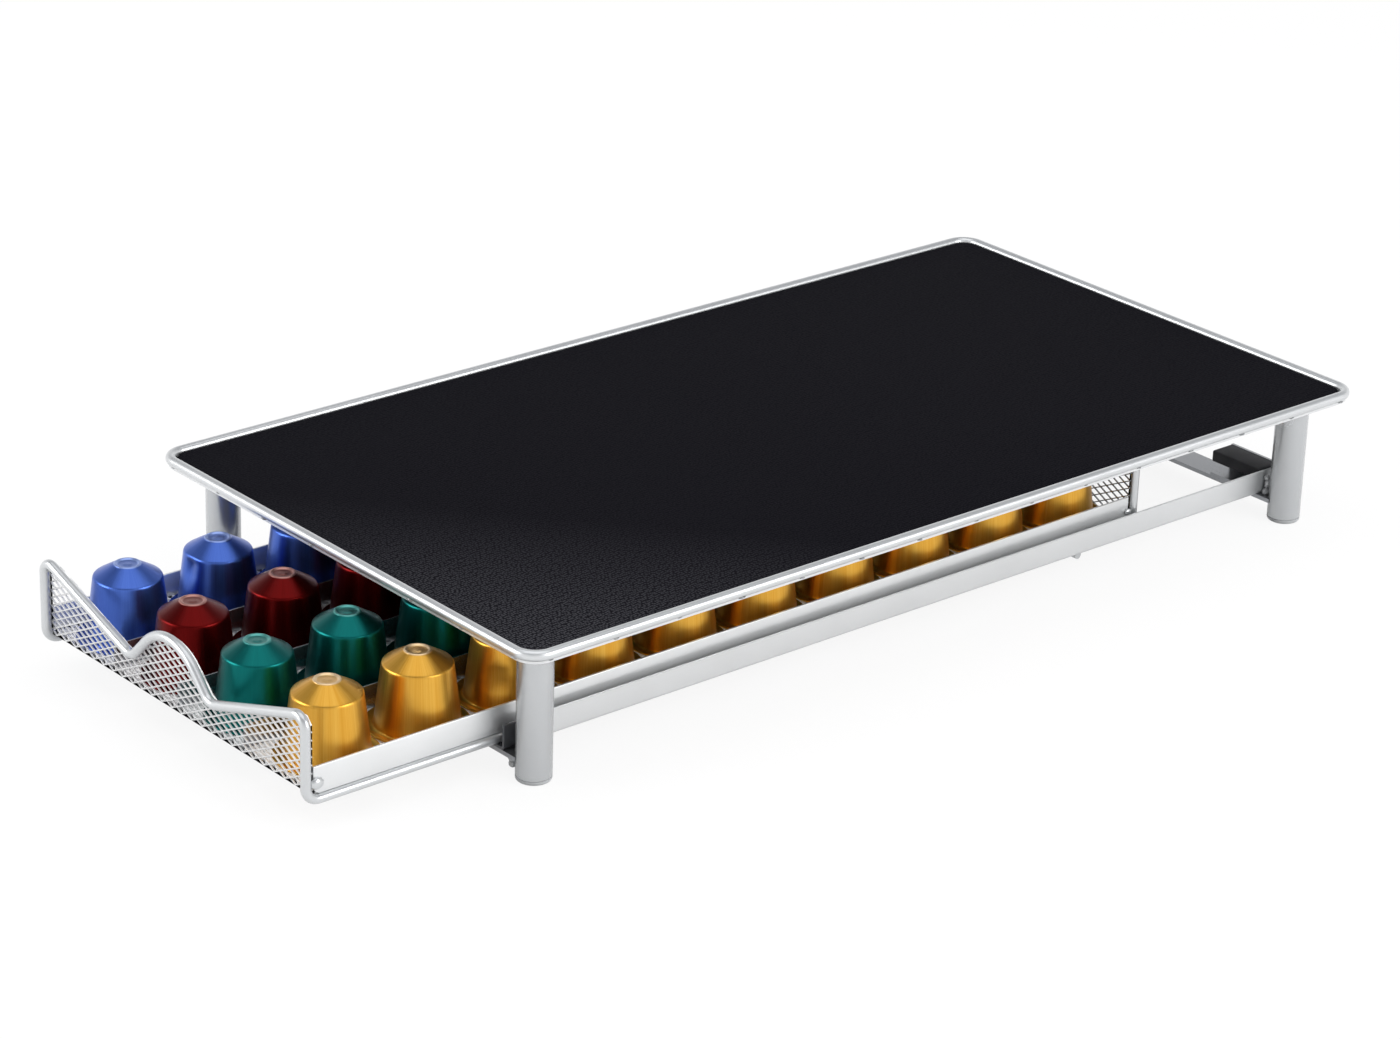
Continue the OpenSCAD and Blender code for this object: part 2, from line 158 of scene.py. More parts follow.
class Shader:
    """A node tree under construction, with one method that adds any node."""

    def __init__(self, owner: bpy.types.Material | bpy.types.World) -> None:
        """Empties the node tree of a material or a world.

        Args:
            owner: the material or the world.
        """
        owner.use_nodes = True
        self.owner = owner
        self.tree = owner.node_tree
        self.tree.nodes.clear()

    @classmethod
    def named(cls, name: str) -> "Shader":
        """Starts a new material.

        Args:
            name: the material's name.

        Returns:
            The shader of the empty material.
        """
        return cls(bpy.data.materials.new(name))

    def node(
        self,
        kind: str,
        settings: dict[str, Any] | None = None,
        inputs: dict[Any, Any] | None = None,
        out: int | str = 0,
    ) -> Value:
        """Adds a node, sets it up and links it.

        Args:
            kind: the node's type, such as ShaderNodeTexNoise.
            settings: the node's own settings; "stops" gives a colour ramp's stops.
            inputs: values or links for its sockets, by name or number.
            out: which output is wanted.

        Returns:
            The chosen output as a Value.
        """
        made = self.tree.nodes.new(kind)
        for key, setting in (settings or {}).items():
            if key == "stops":
                self._set_stops(made, setting)
            else:
                setattr(made, key, setting)
        for key, given in (inputs or {}).items():
            socket = made.inputs[key]
            if isinstance(given, Value):
                self.tree.links.new(given.socket, socket)
            elif isinstance(given, (int, float)):
                socket.default_value = given
            else:
                room = len(socket.default_value)
                socket.default_value = (*given, 1.0)[:room] if len(given) < room else given
        if not made.outputs:
            return Value(self, None)
        return Value(self, made.outputs[out])

    @staticmethod
    def _set_stops(ramp: bpy.types.Node, stops: Sequence[tuple[float, Colour]]) -> None:
        """Replaces a colour ramp's stops.

        Args:
            ramp: the colour ramp node.
            stops: pairs of place and colour, in order.
        """
        elements = ramp.color_ramp.elements
        while len(elements) > 1:
            elements.remove(elements[-1])
        for index, (place, colour) in enumerate(stops):
            stop = elements[0] if index == 0 else elements.new(place)
            stop.position = place
            stop.color = (*colour, 1.0)

    def place(self) -> Value:
        """Position on the piece, in metres in the row frame."""
        return self.node("ShaderNodeTexCoord", out="Object")

    def parts(self, vector: Value) -> tuple[Value, Value, Value]:
        """The three numbers of a vector."""
        x = self.node("ShaderNodeSeparateXYZ", None, {0: vector}, 0)
        split = x.socket.node.outputs
        return x, Value(self, split[1]), Value(self, split[2])

    def vector(self, x: Any, y: Any, z: Any) -> Value:
        """A vector made of three numbers."""
        return self.node("ShaderNodeCombineXYZ", None, {0: x, 1: y, 2: z})

    def noise(self, vector: Value, scale: float, detail: float, rough: float = 0.5) -> Value:
        """Smooth noise between 0 and 1.

        Args:
            vector: where it is read.
            scale: how many features there are to a unit.
            detail: how many finer layers are added.
            rough: how strong those layers are.

        Returns:
            The noise as a Value.
        """
        return self.node(
            "ShaderNodeTexNoise",
            None,
            {"Vector": vector, "Scale": scale, "Detail": detail, "Roughness": rough},
            "Fac",
        )

    def blend(self, factor: Any, first: Any, second: Any) -> Value:
        """Mix of two colours.

        Args:
            factor: 0 for the first colour, 1 for the second.
            first: a colour or a link.
            second: a colour or a link.

        Returns:
            The mixed colour as a Value.
        """
        return self.node(
            "ShaderNodeMix", {"data_type": "RGBA"}, {0: factor, 6: first, 7: second}, 2
        )

    def bump(self, height: Value, strength: float, distance: float) -> Value:
        """A normal that follows a height.

        Args:
            height: the height, from 0 to 1.
            strength: how much of it shows.
            distance: how deep a height of 1 is, in metres.

        Returns:
            The normal as a Value.
        """
        return self.node(
            "ShaderNodeBump",
            None,
            {"Height": height, "Strength": strength, "Distance": distance},
            "Normal",
        )

    def finish(self, **sockets: Any) -> bpy.types.Material:
        """Adds the surface shader and the output.

        Args:
            **sockets: Principled socket names, with _ for a space, and their values or links.

        Returns:
            The finished material.
        """
        surface = self.node(
            "ShaderNodeBsdfPrincipled",
            None,
            {name.replace("_", " "): given for name, given in sockets.items()},
        )
        self.node("ShaderNodeOutputMaterial", None, {"Surface": surface})
        return self.owner


# ---------------------------------------------------------------- finishes, whose scales are per metre


def toned(colour: Colour, by: float) -> Colour:
    """A colour made darker or paler by a factor, at most white."""
    return tuple(min(1.0, by * part) for part in colour)


@dataclass(frozen=True)
class PaintedShade:
    """A band of painted shade across a painted piece, at a place along one axis."""

    axis: Axis
    at: float
    reach: float
    depth: float
    colour: Colour = (0.030, 0.034, 0.044)

    def over(self, s: Shader, place: Value, cloud: Value, paint: Value) -> Value:
        """Lays the painted shade over a paint.

        Args:
            s: the paint's shader.
            place: where it is read.
            cloud: the noise that makes it uneven.
            paint: the paint's colour without the shade.

        Returns:
            The shaded colour as a Value.
        """
        off = (s.parts(place)[self.axis.value] - self.at) / self.reach
        shade_share = ((1.0 - off * off) * 2.0).clip() * self.depth
        return s.blend(shade_share * (0.85 + cloud * 0.15), paint, self.colour)


@dataclass(frozen=True)
class SilverPaint:
    """Satin silver paint on steel, with a fine metal flake and a soft orange peel.

    The scales count its clouds, its flakes and the dimples of the peel to a metre.
    """

    name: str
    colour: Colour
    roughness: float
    metallic: float
    painted_shades: tuple[PaintedShade, ...] = ()
    sparkle: Colour = (0.9, 0.9, 0.9)
    cloud_scale: float = 28.0
    flake_scale: float = 5200.0
    peel_scale: float = 900.0
    peel: float = 0.05
    peel_depth: float = 0.2 * MM

    def material(self) -> bpy.types.Material:
        """Builds the paint."""
        s = Shader.named(self.name)
        place = s.place()
        cloud = s.noise(place, self.cloud_scale, 3.0)
        flake = s.noise(place, self.flake_scale, 1.0)
        tone = s.blend(cloud, toned(self.colour, 0.90), toned(self.colour, 1.07))
        glint = s.blend((flake - 0.35) * 1.6, toned(self.colour, 0.86), self.sparkle)
        colour = s.blend(0.12, tone, glint)
        # Bands of painted shade, darker where shadow and dark reflections fall on the piece.
        for painted_shade in self.painted_shades:
            colour = painted_shade.over(s, place, cloud, colour)
        dimples = s.noise(place, self.peel_scale, 2.0)
        return s.finish(
            Base_Color=colour,
            Metallic=self.metallic,
            Roughness=self.roughness - 0.05 + cloud * 0.09 + flake * 0.03,
            Normal=s.bump(dimples, self.peel, self.peel_depth),
        )


# One silver paint in copies of differing brightness, each set so that its pieces come out as light or as
# dark as they look under this lighting: the wire, rim and tube copies differ a little; the sheet copy is
# paler and the mesh copy near white and hardly metal, as painted light; the bracket and strip copies are
# darker, as painted shade.
WIRE_PAINT = SilverPaint("silver_paint", (0.62, 0.635, 0.645), 0.31, 0.78)
RIM_PAINT = SilverPaint("rim_paint", (0.66, 0.675, 0.685), 0.31, 0.78)
TUBE_PAINT = SilverPaint("tube_paint", (0.56, 0.575, 0.585), 0.25, 0.66)
LIT_SHEET_PAINT = SilverPaint("lit_sheet_paint", (0.77, 0.78, 0.785), 0.36, 0.65)
LIT_MESH_PAINT = SilverPaint("lit_mesh_paint", (0.96, 0.965, 0.97), 0.45, 0.05)
SHADED_BRACKET_PAINT = SilverPaint("shaded_bracket_paint", (0.36, 0.37, 0.39), 0.28, 0.85)
SHADED_STRIP_PAINT = SilverPaint("shaded_strip_paint", (0.27, 0.28, 0.30), 0.26, 0.9)


@dataclass(frozen=True)
class WeldMetal:
    """Lumpy weld bead under silver paint, with painted shade in the hollows between its lumps."""

    name: str = "weld_bead"
    colour: Colour = (0.62, 0.63, 0.64)
    hollow_shade: float = 0.45
    lump_scale: float = 1500.0
    lump_depth: float = 0.6 * MM

    def material(self) -> bpy.types.Material:
        """Builds the bead's finish."""
        s = Shader.named(self.name)
        lumps = s.noise(s.place(), self.lump_scale, 4.0, 0.65)
        return s.finish(
            # Painted shade: the hollows between the lumps are darker.
            Base_Color=s.blend((lumps - 0.3) * 2.2, toned(self.colour, self.hollow_shade), self.colour),
            Metallic=0.8,
            Roughness=0.3 + lumps * 0.3,
            Normal=s.bump(lumps, 0.7, self.lump_depth),
        )


@dataclass(frozen=True)
class PebbledMat:
    """Near-black rubber with small oval pebbles, whose tops are a little paler, with a painted sheen on
    them that grows towards the front right corner.
    """

    name: str = "pebbled_mat"
    colour: Colour = (0.0042, 0.0040, 0.0062)
    pebble_and_sheen: Colour = (0.088, 0.089, 0.100)
    pitch: float = 1.4 * MM
    row: float = 0.95 * MM
    relief: float = 0.28 * MM
    grit_scale: float = 2600.0
    cloud_scale: float = 9.0
    # Where the painted sheen on the pebbles is strongest, and how far it reaches along X and Y.
    corner: Pair = (105 * MM, -164 * MM)
    sheen_reach: Pair = (170 * MM, 150 * MM)

    def material(self) -> bpy.types.Material:
        """Builds the mat's finish."""
        s = Shader.named(self.name)
        place = s.place()
        x, y, _ = s.parts(place)
        grid = s.vector(x / self.pitch, y / self.row, 0.0)
        reach = s.node(
            "ShaderNodeTexVoronoi",
            {"voronoi_dimensions": "2D"},
            {"Vector": grid, "Scale": 1.0, "Randomness": 0.5},
            "Distance",
        )
        pebble = (1.1 - reach * 1.75).clip()
        grit = s.noise(place, self.grit_scale, 3.0, 0.6)
        cloud = s.noise(place, self.cloud_scale, 3.0)
        height = pebble * 0.82 + grit * 0.18
        # Painted sheen: the pebble tops turn paler towards the front right corner; away from it they
        # keep only a faint paler tone.
        from_sheen_corner = (self.corner[0] - x) / self.sheen_reach[0] + (y - self.corner[1]) / self.sheen_reach[1]
        corner_sheen = (1.0 - from_sheen_corner).clip()
        pebble_tone_and_sheen = (pebble ** 1.6 * (0.05 + corner_sheen * 0.75) * (0.6 + cloud * 0.8)).clip()
        colour = s.blend(pebble_tone_and_sheen, self.colour, self.pebble_and_sheen)
        return s.finish(
            Base_Color=colour,
            Roughness=0.74 - pebble * 0.12 + grit * 0.1,
            Specular_IOR_Level=0.02,
            Normal=s.bump(height, 0.7, self.relief),
        )


@dataclass(frozen=True)
class SoftRubber:
    """Plain matt rubber of the bumpers, with a fine grain."""

    name: str = "bumper_rubber"
    colour: Colour = (0.026, 0.026, 0.029)
    dusty: float = 2.2
    roughness: float = 0.6
    dust_scale: float = 120.0
    grain_scale: float = 1800.0
    grain_depth: float = 0.1 * MM

    def material(self) -> bpy.types.Material:
        """Builds the rubber."""
        s = Shader.named(self.name)
        place = s.place()
        grain = s.noise(place, self.grain_scale, 3.0, 0.6)
        dust = s.noise(place, self.dust_scale, 4.0)
        return s.finish(
            Base_Color=s.blend((dust - 0.35) * 1.4, self.colour, toned(self.colour, self.dusty)),
            Roughness=self.roughness + grain * 0.15,
            Specular_IOR_Level=0.35,
            Normal=s.bump(grain, 0.2, self.grain_depth),
        )


@dataclass(frozen=True)
class PlugPlastic:
    """Grey moulded plastic of the leg plugs."""

    name: str = "plug_plastic"
    colour: Colour = (0.60, 0.61, 0.62)
    scuffed: float = 0.8
    scuff_scale: float = 260.0
    grain_scale: float = 2400.0
    grain_depth: float = 0.08 * MM

    def material(self) -> bpy.types.Material:
        """Builds the plastic."""
        s = Shader.named(self.name)
        place = s.place()
        grain = s.noise(place, self.grain_scale, 2.0)
        scuff = s.noise(place, self.scuff_scale, 4.0, 0.7)
        return s.finish(
            Base_Color=s.blend((scuff - 0.4) * 2.0, self.colour, toned(self.colour, self.scuffed)),
            Roughness=0.42 + scuff * 0.2,
            Normal=s.bump(grain, 0.15, self.grain_depth),
        )


@dataclass(frozen=True)
class PodFoil:
    """Coloured aluminium of the pods, with draw lines down the body and a painted highlight, a paler
    colour, on the nose ring.
    """

    name: str
    colour: Colour
    deep: Colour
    # The paler colour of the nose ring, a painted highlight.
    nose: Colour
    roughness: float = 0.25
    broad: Pair = (5.0, 0.012)
    fine: Pair = (34.0, 0.02)
    cloud_scale: float = 90.0
    relief: float = 0.5 * MM

    def material(self) -> bpy.types.Material:
        """Builds the foil. The pod_axis attribute gives the direction and height on each pod."""
        s = Shader.named(self.name)
        axis = s.node("ShaderNodeAttribute", {"attribute_name": "pod_axis"}, None, "Vector")
        band = s.noise(self._drawn(s, axis, self.broad), 1.0, 2.0)
        streak = s.noise(self._drawn(s, axis, self.fine), 1.0, 3.0, 0.6)
        cloud = s.noise(s.place(), self.cloud_scale, 3.0)
        tone = s.blend((band * 0.4 + streak * 0.6 - 0.2) * 1.6, self.deep, self.colour)
        # A painted highlight: the nose ring turns towards the paler nose colour, by the share stored on
        # each point.
        nose = s.node("ShaderNodeAttribute", {"attribute_name": "pod_nose_highlight"}, None, "Fac")
        return s.finish(
            Base_Color=s.blend(nose, tone, self.nose),
            Metallic=0.98,
            Roughness=self.roughness + streak * 0.10 + cloud * 0.06,
            Coat_Weight=0.05,
            Coat_Roughness=0.2,
            Normal=s.bump(streak * 0.6 + cloud * 0.4, 0.10, self.relief),
        )

    @staticmethod
    def _drawn(s: Shader, axis: Value, scale: Pair) -> Value:
        """A place on the pod for noise that is drawn out along its height.

        Args:
            s: the foil's shader.
            axis: the direction and height on the pod.
            scale: how fast the place changes around the pod, and with each millimetre up it.

        Returns:
            The place as a Value.
        """
        x, y, z = s.parts(axis)
        around, upward = scale
        return s.vector(x * around, y * around, z * upward)


# ---------------------------------------------------------------- mesh building


@dataclass
class Shape:
    """Corner points and faces of one closed form."""

    points: list[Vector] = field(default_factory=list)
    faces: Faces = field(default_factory=list)

    def add(self, other: "Shape") -> None:
        """Takes in another form."""
        base = len(self.points)
        self.points.extend(other.points)
        self.faces.extend([tuple(base + i for i in face) for face in other.faces])

    def moved(self, matrix: Matrix) -> "Shape":
        """A copy of the form, moved by a matrix."""
        return Shape([matrix @ p for p in self.points], list(self.faces))

    def mirrored(self) -> "Shape":
        """A copy of the form on the other side of the middle plane."""
        points = [Vector((-p.x, p.y, p.z)) for p in self.points]
        return Shape(points, [tuple(reversed(face)) for face in self.faces])


def piece(
    name: str,
    shape: Shape,
    finish: bpy.types.Material,
    body: Body,
    replaces: Sequence[str] = (),
    sharp: float = 35.0,
) -> bpy.types.Object:
    """Makes a form into a dressed piece that rides on a body.

    Args:
        name: the piece's name.
        shape: its form, in metres in the row frame.
        finish: its material.
        body: the body that it rides on.
        replaces: the solids that it stands for.
        sharp: the angle in degrees above which an edge stays sharp.

    Returns:
        The new object.
    """
    mesh = bpy.data.meshes.new(name)
    mesh.from_pydata([tuple(p) for p in shape.points], [], shape.faces)
    mesh.validate()
    mesh.materials.append(finish)
    made = bpy.data.objects.new(name, mesh)
    bpy.context.scene.collection.objects.link(made)
    smooth(mesh, sharp)
    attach(made, body.value)
    if replaces:
        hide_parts(*replaces)
    log.info("%s: %d faces on %s", name, len(mesh.polygons), body.value)
    return made


def smooth(mesh: bpy.types.Mesh, sharp: float) -> None:
    """Shades a mesh smooth, apart from its sharp edges.

    Args:
        mesh: the mesh.
        sharp: the angle in degrees above which an edge stays sharp.
    """
    mesh.polygons.foreach_set("use_smooth", [True] * len(mesh.polygons))
    mesh.set_sharp_from_angle(angle=math.radians(sharp))
    mesh.update()


@dataclass(frozen=True)
class Bend:
    """A corner of a bent wire, with the radius of its bend."""

    at: Vector
    radius: float


def wire_line(bends: Sequence[Bend], closed: bool = True) -> list[Vector]:
    """Middle line of a bent wire, with arcs in place of its corners.

    Args:
        bends: the corners in order.
        closed: whether the last corner joins the first.

    Returns:
        The points along the line.
    """
    count = len(bends)
    line: list[Vector] = []
    for index, bend in enumerate(bends):
        if not closed and index in (0, count - 1):
            line.append(bend.at.copy())
            continue
        u = (bends[index - 1].at - bend.at).normalized()
        v = (bends[(index + 1) % count].at - bend.at).normalized()
        half = u.angle(v) / 2
        reach = bend.radius / math.tan(half)
        centre = bend.at + (u + v).normalized() * (bend.radius / math.sin(half))
        start, end = bend.at + u * reach - centre, bend.at + v * reach - centre
        turn = math.pi - 2 * half
        axis = start.cross(end).normalized()
        steps = max(2, math.ceil(math.degrees(turn) / BEND_STEP))
        for k in range(steps + 1):
            line.append(centre + Quaternion(axis, turn * k / steps) @ start)
    return line


def round_section(radius: float, sides: int = 24) -> list[Pair]:
    """Points of a circle.

    Args:
        radius: its radius.
        sides: how many points it has.

    Returns:
        The points in order.
    """
    turns = [2 * math.pi * k / sides for k in range(sides)]
    return [(radius * math.cos(t), radius * math.sin(t)) for t in turns]


def arc(x: float, y: float, radius: float, start: float, steps: int, turn: float = 90.0) -> list[Pair]:
    """Points along part of a circle, both ends included.

    Args:
        x: the first coordinate of its middle.
        y: the second coordinate of its middle.
        radius: its radius.
        start: where it starts, in degrees.
        steps: how many steps it has.
        turn: how far it goes, in degrees.

    Returns:
        The points in order.
    """
    turns = [math.radians(start + turn * k / steps) for k in range(steps + 1)]
    return [(x + radius * math.cos(t), y + radius * math.sin(t)) for t in turns]


def sweep(line: Sequence[Vector], section: Sequence[Pair], closed: bool) -> Shape:
    """Carries a section along a line without twisting it.

    Args:
        line: the middle line.
        section: the points of the section.
        closed: whether the line's ends join.

    Returns:
        The closed form, with flat ends where the line is open.
    """
    count = len(line)
    tangents = []
    for i in range(count):
        ahead = line[(i + 1) % count] if closed or i < count - 1 else line[i]
        behind = line[i - 1] if closed or i > 0 else line[i]
        tangents.append((ahead - behind).normalized())
    start = Vector((0, 0, 1)) if abs(tangents[0].z) < 0.9 else Vector((1, 0, 0))
    normal = (start - tangents[0] * start.dot(tangents[0])).normalized()
    normals = [normal]
    for i in range(1, count):
        turn = tangents[i - 1].rotation_difference(tangents[i])
        normal = (turn @ normals[-1]).normalized()
        normals.append((normal - tangents[i] * normal.dot(tangents[i])).normalized())
    # The section comes round turned by some angle, which is spread over the whole loop.
    twist = 0.0
    if closed:
        last = tangents[-1].rotation_difference(tangents[0]) @ normals[-1]
        twist = math.atan2(tangents[0].dot(last.cross(normals[0])), last.dot(normals[0]))
    shape = Shape()
    size = len(section)
    for i, (point, tangent, normal) in enumerate(zip(line, tangents, normals)):
        n = Quaternion(tangent, twist * i / count) @ normal
        b = tangent.cross(n)
        shape.points.extend(point + n * u + b * v for u, v in section)
    for i in range(count if closed else count - 1):
        a, b = i * size, ((i + 1) % count) * size
        for k in range(size):
            m = (k + 1) % size
            shape.faces.append((a + k, a + m, b + m, b + k))
    if not closed:
        shape.faces.append(tuple(reversed(range(size))))
        shape.faces.append(tuple(range((count - 1) * size, count * size)))
    return shape


def lathe(profile: Sequence[Pair], segments: int) -> Shape:
    """Turns a profile of (radius, height) about the upright axis; both its ends lie on the axis.

    Args:
        profile: the points from the bottom to the top.
        segments: how many steps there are around.

    Returns:
        The closed form.
    """
    shape = Shape([Vector((0, 0, profile[0][1]))])
    rings = profile[1:-1]
    for r, z in rings:
        for k in range(segments):
            t = 2 * math.pi * k / segments
            shape.points.append(Vector((r * math.cos(t), r * math.sin(t), z)))
    shape.points.append(Vector((0, 0, profile[-1][1])))
    top = len(shape.points) - 1
    last = 1 + (len(rings) - 1) * segments
    for k in range(segments):
        m = (k + 1) % segments
        shape.faces.append((0, 1 + m, 1 + k))
        for j in range(len(rings) - 1):
            a, b = 1 + j * segments, 1 + (j + 1) * segments
            shape.faces.append((a + k, a + m, b + m, b + k))
        shape.faces.append((last + k, last + m, top))
    return shape


def plate(outline: Sequence[Pair], low: float, high: float, bevel: float) -> Shape:
    """An outline in X and Y made solid between two heights, with rounded edges.

    Args:
        outline: the points, anticlockwise seen from above.
        low: the height of the underside.
        high: the height of the top.
        bevel: the radius of the edges.

    Returns:
        The closed form.
    """
    bm = bmesh.new()
    face = bm.faces.new([bm.verts.new((x, y, low)) for x, y in outline])
    grown = bmesh.ops.extrude_face_region(bm, geom=[face])
    for vert in (v for v in grown["geom"] if isinstance(v, bmesh.types.BMVert)):
        vert.co.z = high
    bmesh.ops.recalc_face_normals(bm, faces=bm.faces)
    bm.normal_update()
    rims = [edge for edge in bm.edges if edge.calc_face_angle(0.0) > math.radians(30)]
    bmesh.ops.bevel(
        bm, geom=rims, offset=bevel, segments=3, profile=0.5, affect="EDGES", clamp_overlap=True
    )
    return taken(bm)


def taken(bm: bmesh.types.BMesh) -> Shape:
    """The form held by a bmesh, which is freed."""
    bm.verts.index_update()
    points = [v.co.copy() for v in bm.verts]
    faces = [tuple(v.index for v in f.verts) for f in bm.faces]
    bm.free()
    return Shape(points, faces)


def block(low: Vector, high: Vector, bevel: float) -> Shape:
    """A box with rounded edges.

    Args:
        low: its lowest corner.
        high: its highest corner.
        bevel: the radius of its edges.

    Returns:
        The closed form.
    """
    outline = [(low.x, low.y), (high.x, low.y), (high.x, high.y), (low.x, high.y)]
    return plate(outline, low.z, high.z, bevel)


def soft_outline(low: Vector, high: Vector, radius: float, steps: int = 10) -> list[Pair]:
    """A rectangle with rounded corners, anticlockwise.

    Args:
        low: its lowest corner.
        high: its highest corner.
        radius: the radius of its corners.
        steps: how many steps each corner has.

    Returns:
        The points in order.
    """
    left, right, front, rear = low.x + radius, high.x - radius, low.y + radius, high.y - radius
    places = [(right, front, -90), (right, rear, 0), (left, rear, 90), (left, front, 180)]
    return [point for x, y, start in places for point in arc(x, y, radius, start, steps)]


@dataclass(frozen=True)
class DiamondSheet:
    """Expanded metal: one sheet slit and drawn out into diamond openings."""

    thickness: float
    long: float = 6.0 * MM
    short: float = 3.0 * MM
    strand: float = 0.70 * MM
    bond_share: float = 1.3
    tilt: float = 0.16 * MM
    crown: float = 0.14 * MM

    def build(self, low: Pair, high: Pair, top: Callable[[float], float] | None = None) -> Shape:
        """Builds the sheet in X and Y, with its middle at Z = 0.

        Args:
            low: its lowest corner.
            high: its highest corner.
            top: the upper limit at each x, where the sheet isn't a rectangle.

        Returns:
            The closed form.
        """
        half_u, half_v = self.long / 2, self.short / 2
        hole_u = (self.long - self.bond_share * self.strand) / 2
        hole_v = (self.short - self.strand) / 2
        limit = top or (lambda x: high[1])
        shape = Shape()
        bonds: dict[Bond, int] = {}
        edges: list[Edge] = []

        def spot(x: float, y: float, z: float) -> int:
            """Adds a point, kept inside the sheet's outline."""
            x = min(max(x, low[0]), high[0])
            y = min(max(y, low[1]), limit(x))
            shape.points.append(Vector((x, y, z)))
            return len(shape.points) - 1

        def bond(a: int, b: int, side: int) -> int:
            """The shared point where strands meet, on one face of the sheet."""
            key = (a, b, side)
            if key not in bonds:
                x, y = low[0] + a * half_u, low[1] + b * half_v
                bonds[key] = spot(x, y, side * self.thickness / 2)
            return bonds[key]

        columns = math.ceil((high[0] - low[0]) / half_u) + 1
        rows = math.ceil((high[1] - low[1]) / half_v) + 1
        ring = ((1, 0), (0, 1), (-1, 0), (0, -1))
        for b in range(rows + 1):
            for a in range(columns + 1):
                x, y = low[0] + a * half_u, low[1] + b * half_v
                over = y - limit(min(max(x, low[0]), high[0]))
                if (a + b) % 2 or x - high[0] > hole_u or over > hole_v:
                    continue
                inner = {}
                for side in (1, -1):
                    flat = side * (self.thickness / 2 - self.crown)
                    inner[side] = [
                        spot(x + du * hole_u, y + dv * hole_v, flat - dv * self.tilt)
                        for du, dv in ring
                    ]
                for k, (du, dv) in enumerate(ring):
                    m = (k + 1) % 4
                    eu, ev = ring[m]
                    for side in (1, -1):
                        outer_k, outer_m = bond(a + du, b + dv, side), bond(a + eu, b + ev, side)
                        quad = (outer_k, outer_m, inner[side][m], inner[side][k])
                        shape.faces.append(quad if side > 0 else tuple(reversed(quad)))
                        edges.append((outer_k, outer_m))
                    shape.faces.append((inner[1][k], inner[1][m], inner[-1][m], inner[-1][k]))
        self._close(shape, bonds, edges)
        return shape

    @staticmethod
    def _close(shape: Shape, bonds: dict[Bond, int], edges: Sequence[Edge]) -> None:
        """Adds the wall around the sheet, where an edge has a diamond on one side only.

        Args:
            shape: the sheet's form.
            bonds: the shared points.
            edges: the shared edges, in the order of the diamonds that use them.
        """
        under = {bonds[(a, b, 1)]: bonds[(a, b, -1)] for a, b, side in bonds if side > 0}
        used = set(edges)
        for first, second in edges:
            if first in under and (second, first) not in used:
                shape.faces.append((second, first, under[first], under[second]))


def welded(shape: Shape, reach: float = 0.002 * MM) -> Shape:
    """A form with doubled points joined and flat faces dropped.

    Args:
        shape: the form.
        reach: how near two points are to be joined.

    Returns:
        The cleaned form.
    """
    bm = bmesh.new()
    verts = [bm.verts.new(p) for p in shape.points]
    for face in shape.faces:
        try:
            bm.faces.new([verts[i] for i in face])
        except ValueError:
            continue
    bmesh.ops.remove_doubles(bm, verts=bm.verts, dist=reach)
    bmesh.ops.dissolve_degenerate(bm, dist=reach, edges=bm.edges)
    bmesh.ops.recalc_face_normals(bm, faces=bm.faces)
    return taken(bm)


# ---------------------------------------------------------------- the stand


@dataclass
class Tabletop:
    """The wire rim, its tack welds, the sheet and the mat on it."""

    rim_paint: bpy.types.Material
    lit_sheet_paint: bpy.types.Material
    mat: bpy.types.Material
    weld: bpy.types.Material
    corner: float = 8.0 * MM
    weld_pitch: float = 27.0 * MM
    weld_size: Vector = field(default_factory=lambda: Vector((1.5, 1.5, 0.55)) * MM)
    mat_corner: float = 5.4 * MM
    mat_edge: float = 0.35 * MM

    def build(self, nodes: dict[str, bpy.types.Object]) -> None:
        """Builds the tabletop's pieces.

        Args:
            nodes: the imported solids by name.
        """
        low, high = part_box("top_rim_wire")
        radius = (high.z - low.z) / 2
        left, front, z = low + Vector((radius, radius, radius))
        right, rear, _ = high - Vector((radius, radius, radius))
        places = [(right, front), (right, rear), (left, rear), (left, front)]
        corners = [Vector((x, y, z)) for x, y in places]
        line = wire_line([Bend(corner, self.corner) for corner in corners])
        rim = sweep(line, round_section(radius, 28), closed=True)
        piece("rim_wire", rim, self.rim_paint, Body.STAND, ["top_rim_wire"])
        self._tack_welds(corners, low.z)
        self._mat()
        dress(nodes["top_plate"], self.lit_sheet_paint)

    def _tack_welds(self, corners: Sequence[Vector], z: float) -> None:
        """Small welds along the seam between the rim wire and the sheet.

        Args:
            corners: the rim's corners in order.
            z: the height of the seam.
        """
        rng = np.random.default_rng(11)
        welds = Shape()
        for index, end in enumerate(corners):
            start = corners[index - 1]
            length = (end - start).length
            straight = length - 2 * self.corner
            count = int(straight / self.weld_pitch)
            for k in range(count + 1):
                at = start.lerp(end, (self.corner + straight * k / count) / length)
                size = self.weld_size * float(rng.uniform(0.75, 1.1))
                welds.add(lump(Vector((at.x, at.y, z)), size, rng))
        piece("rim_tack_welds", welds, self.weld, Body.STAND)

    def _mat(self) -> None:
        """The mat, with a rounded upper edge."""
        low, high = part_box("non_slip_mat")
        outline = soft_outline(low, high, self.mat_corner)
        form = plate(outline, low.z, high.z, self.mat_edge)
        piece("non_slip_pad", form, self.mat, Body.STAND, ["non_slip_mat"], 50)


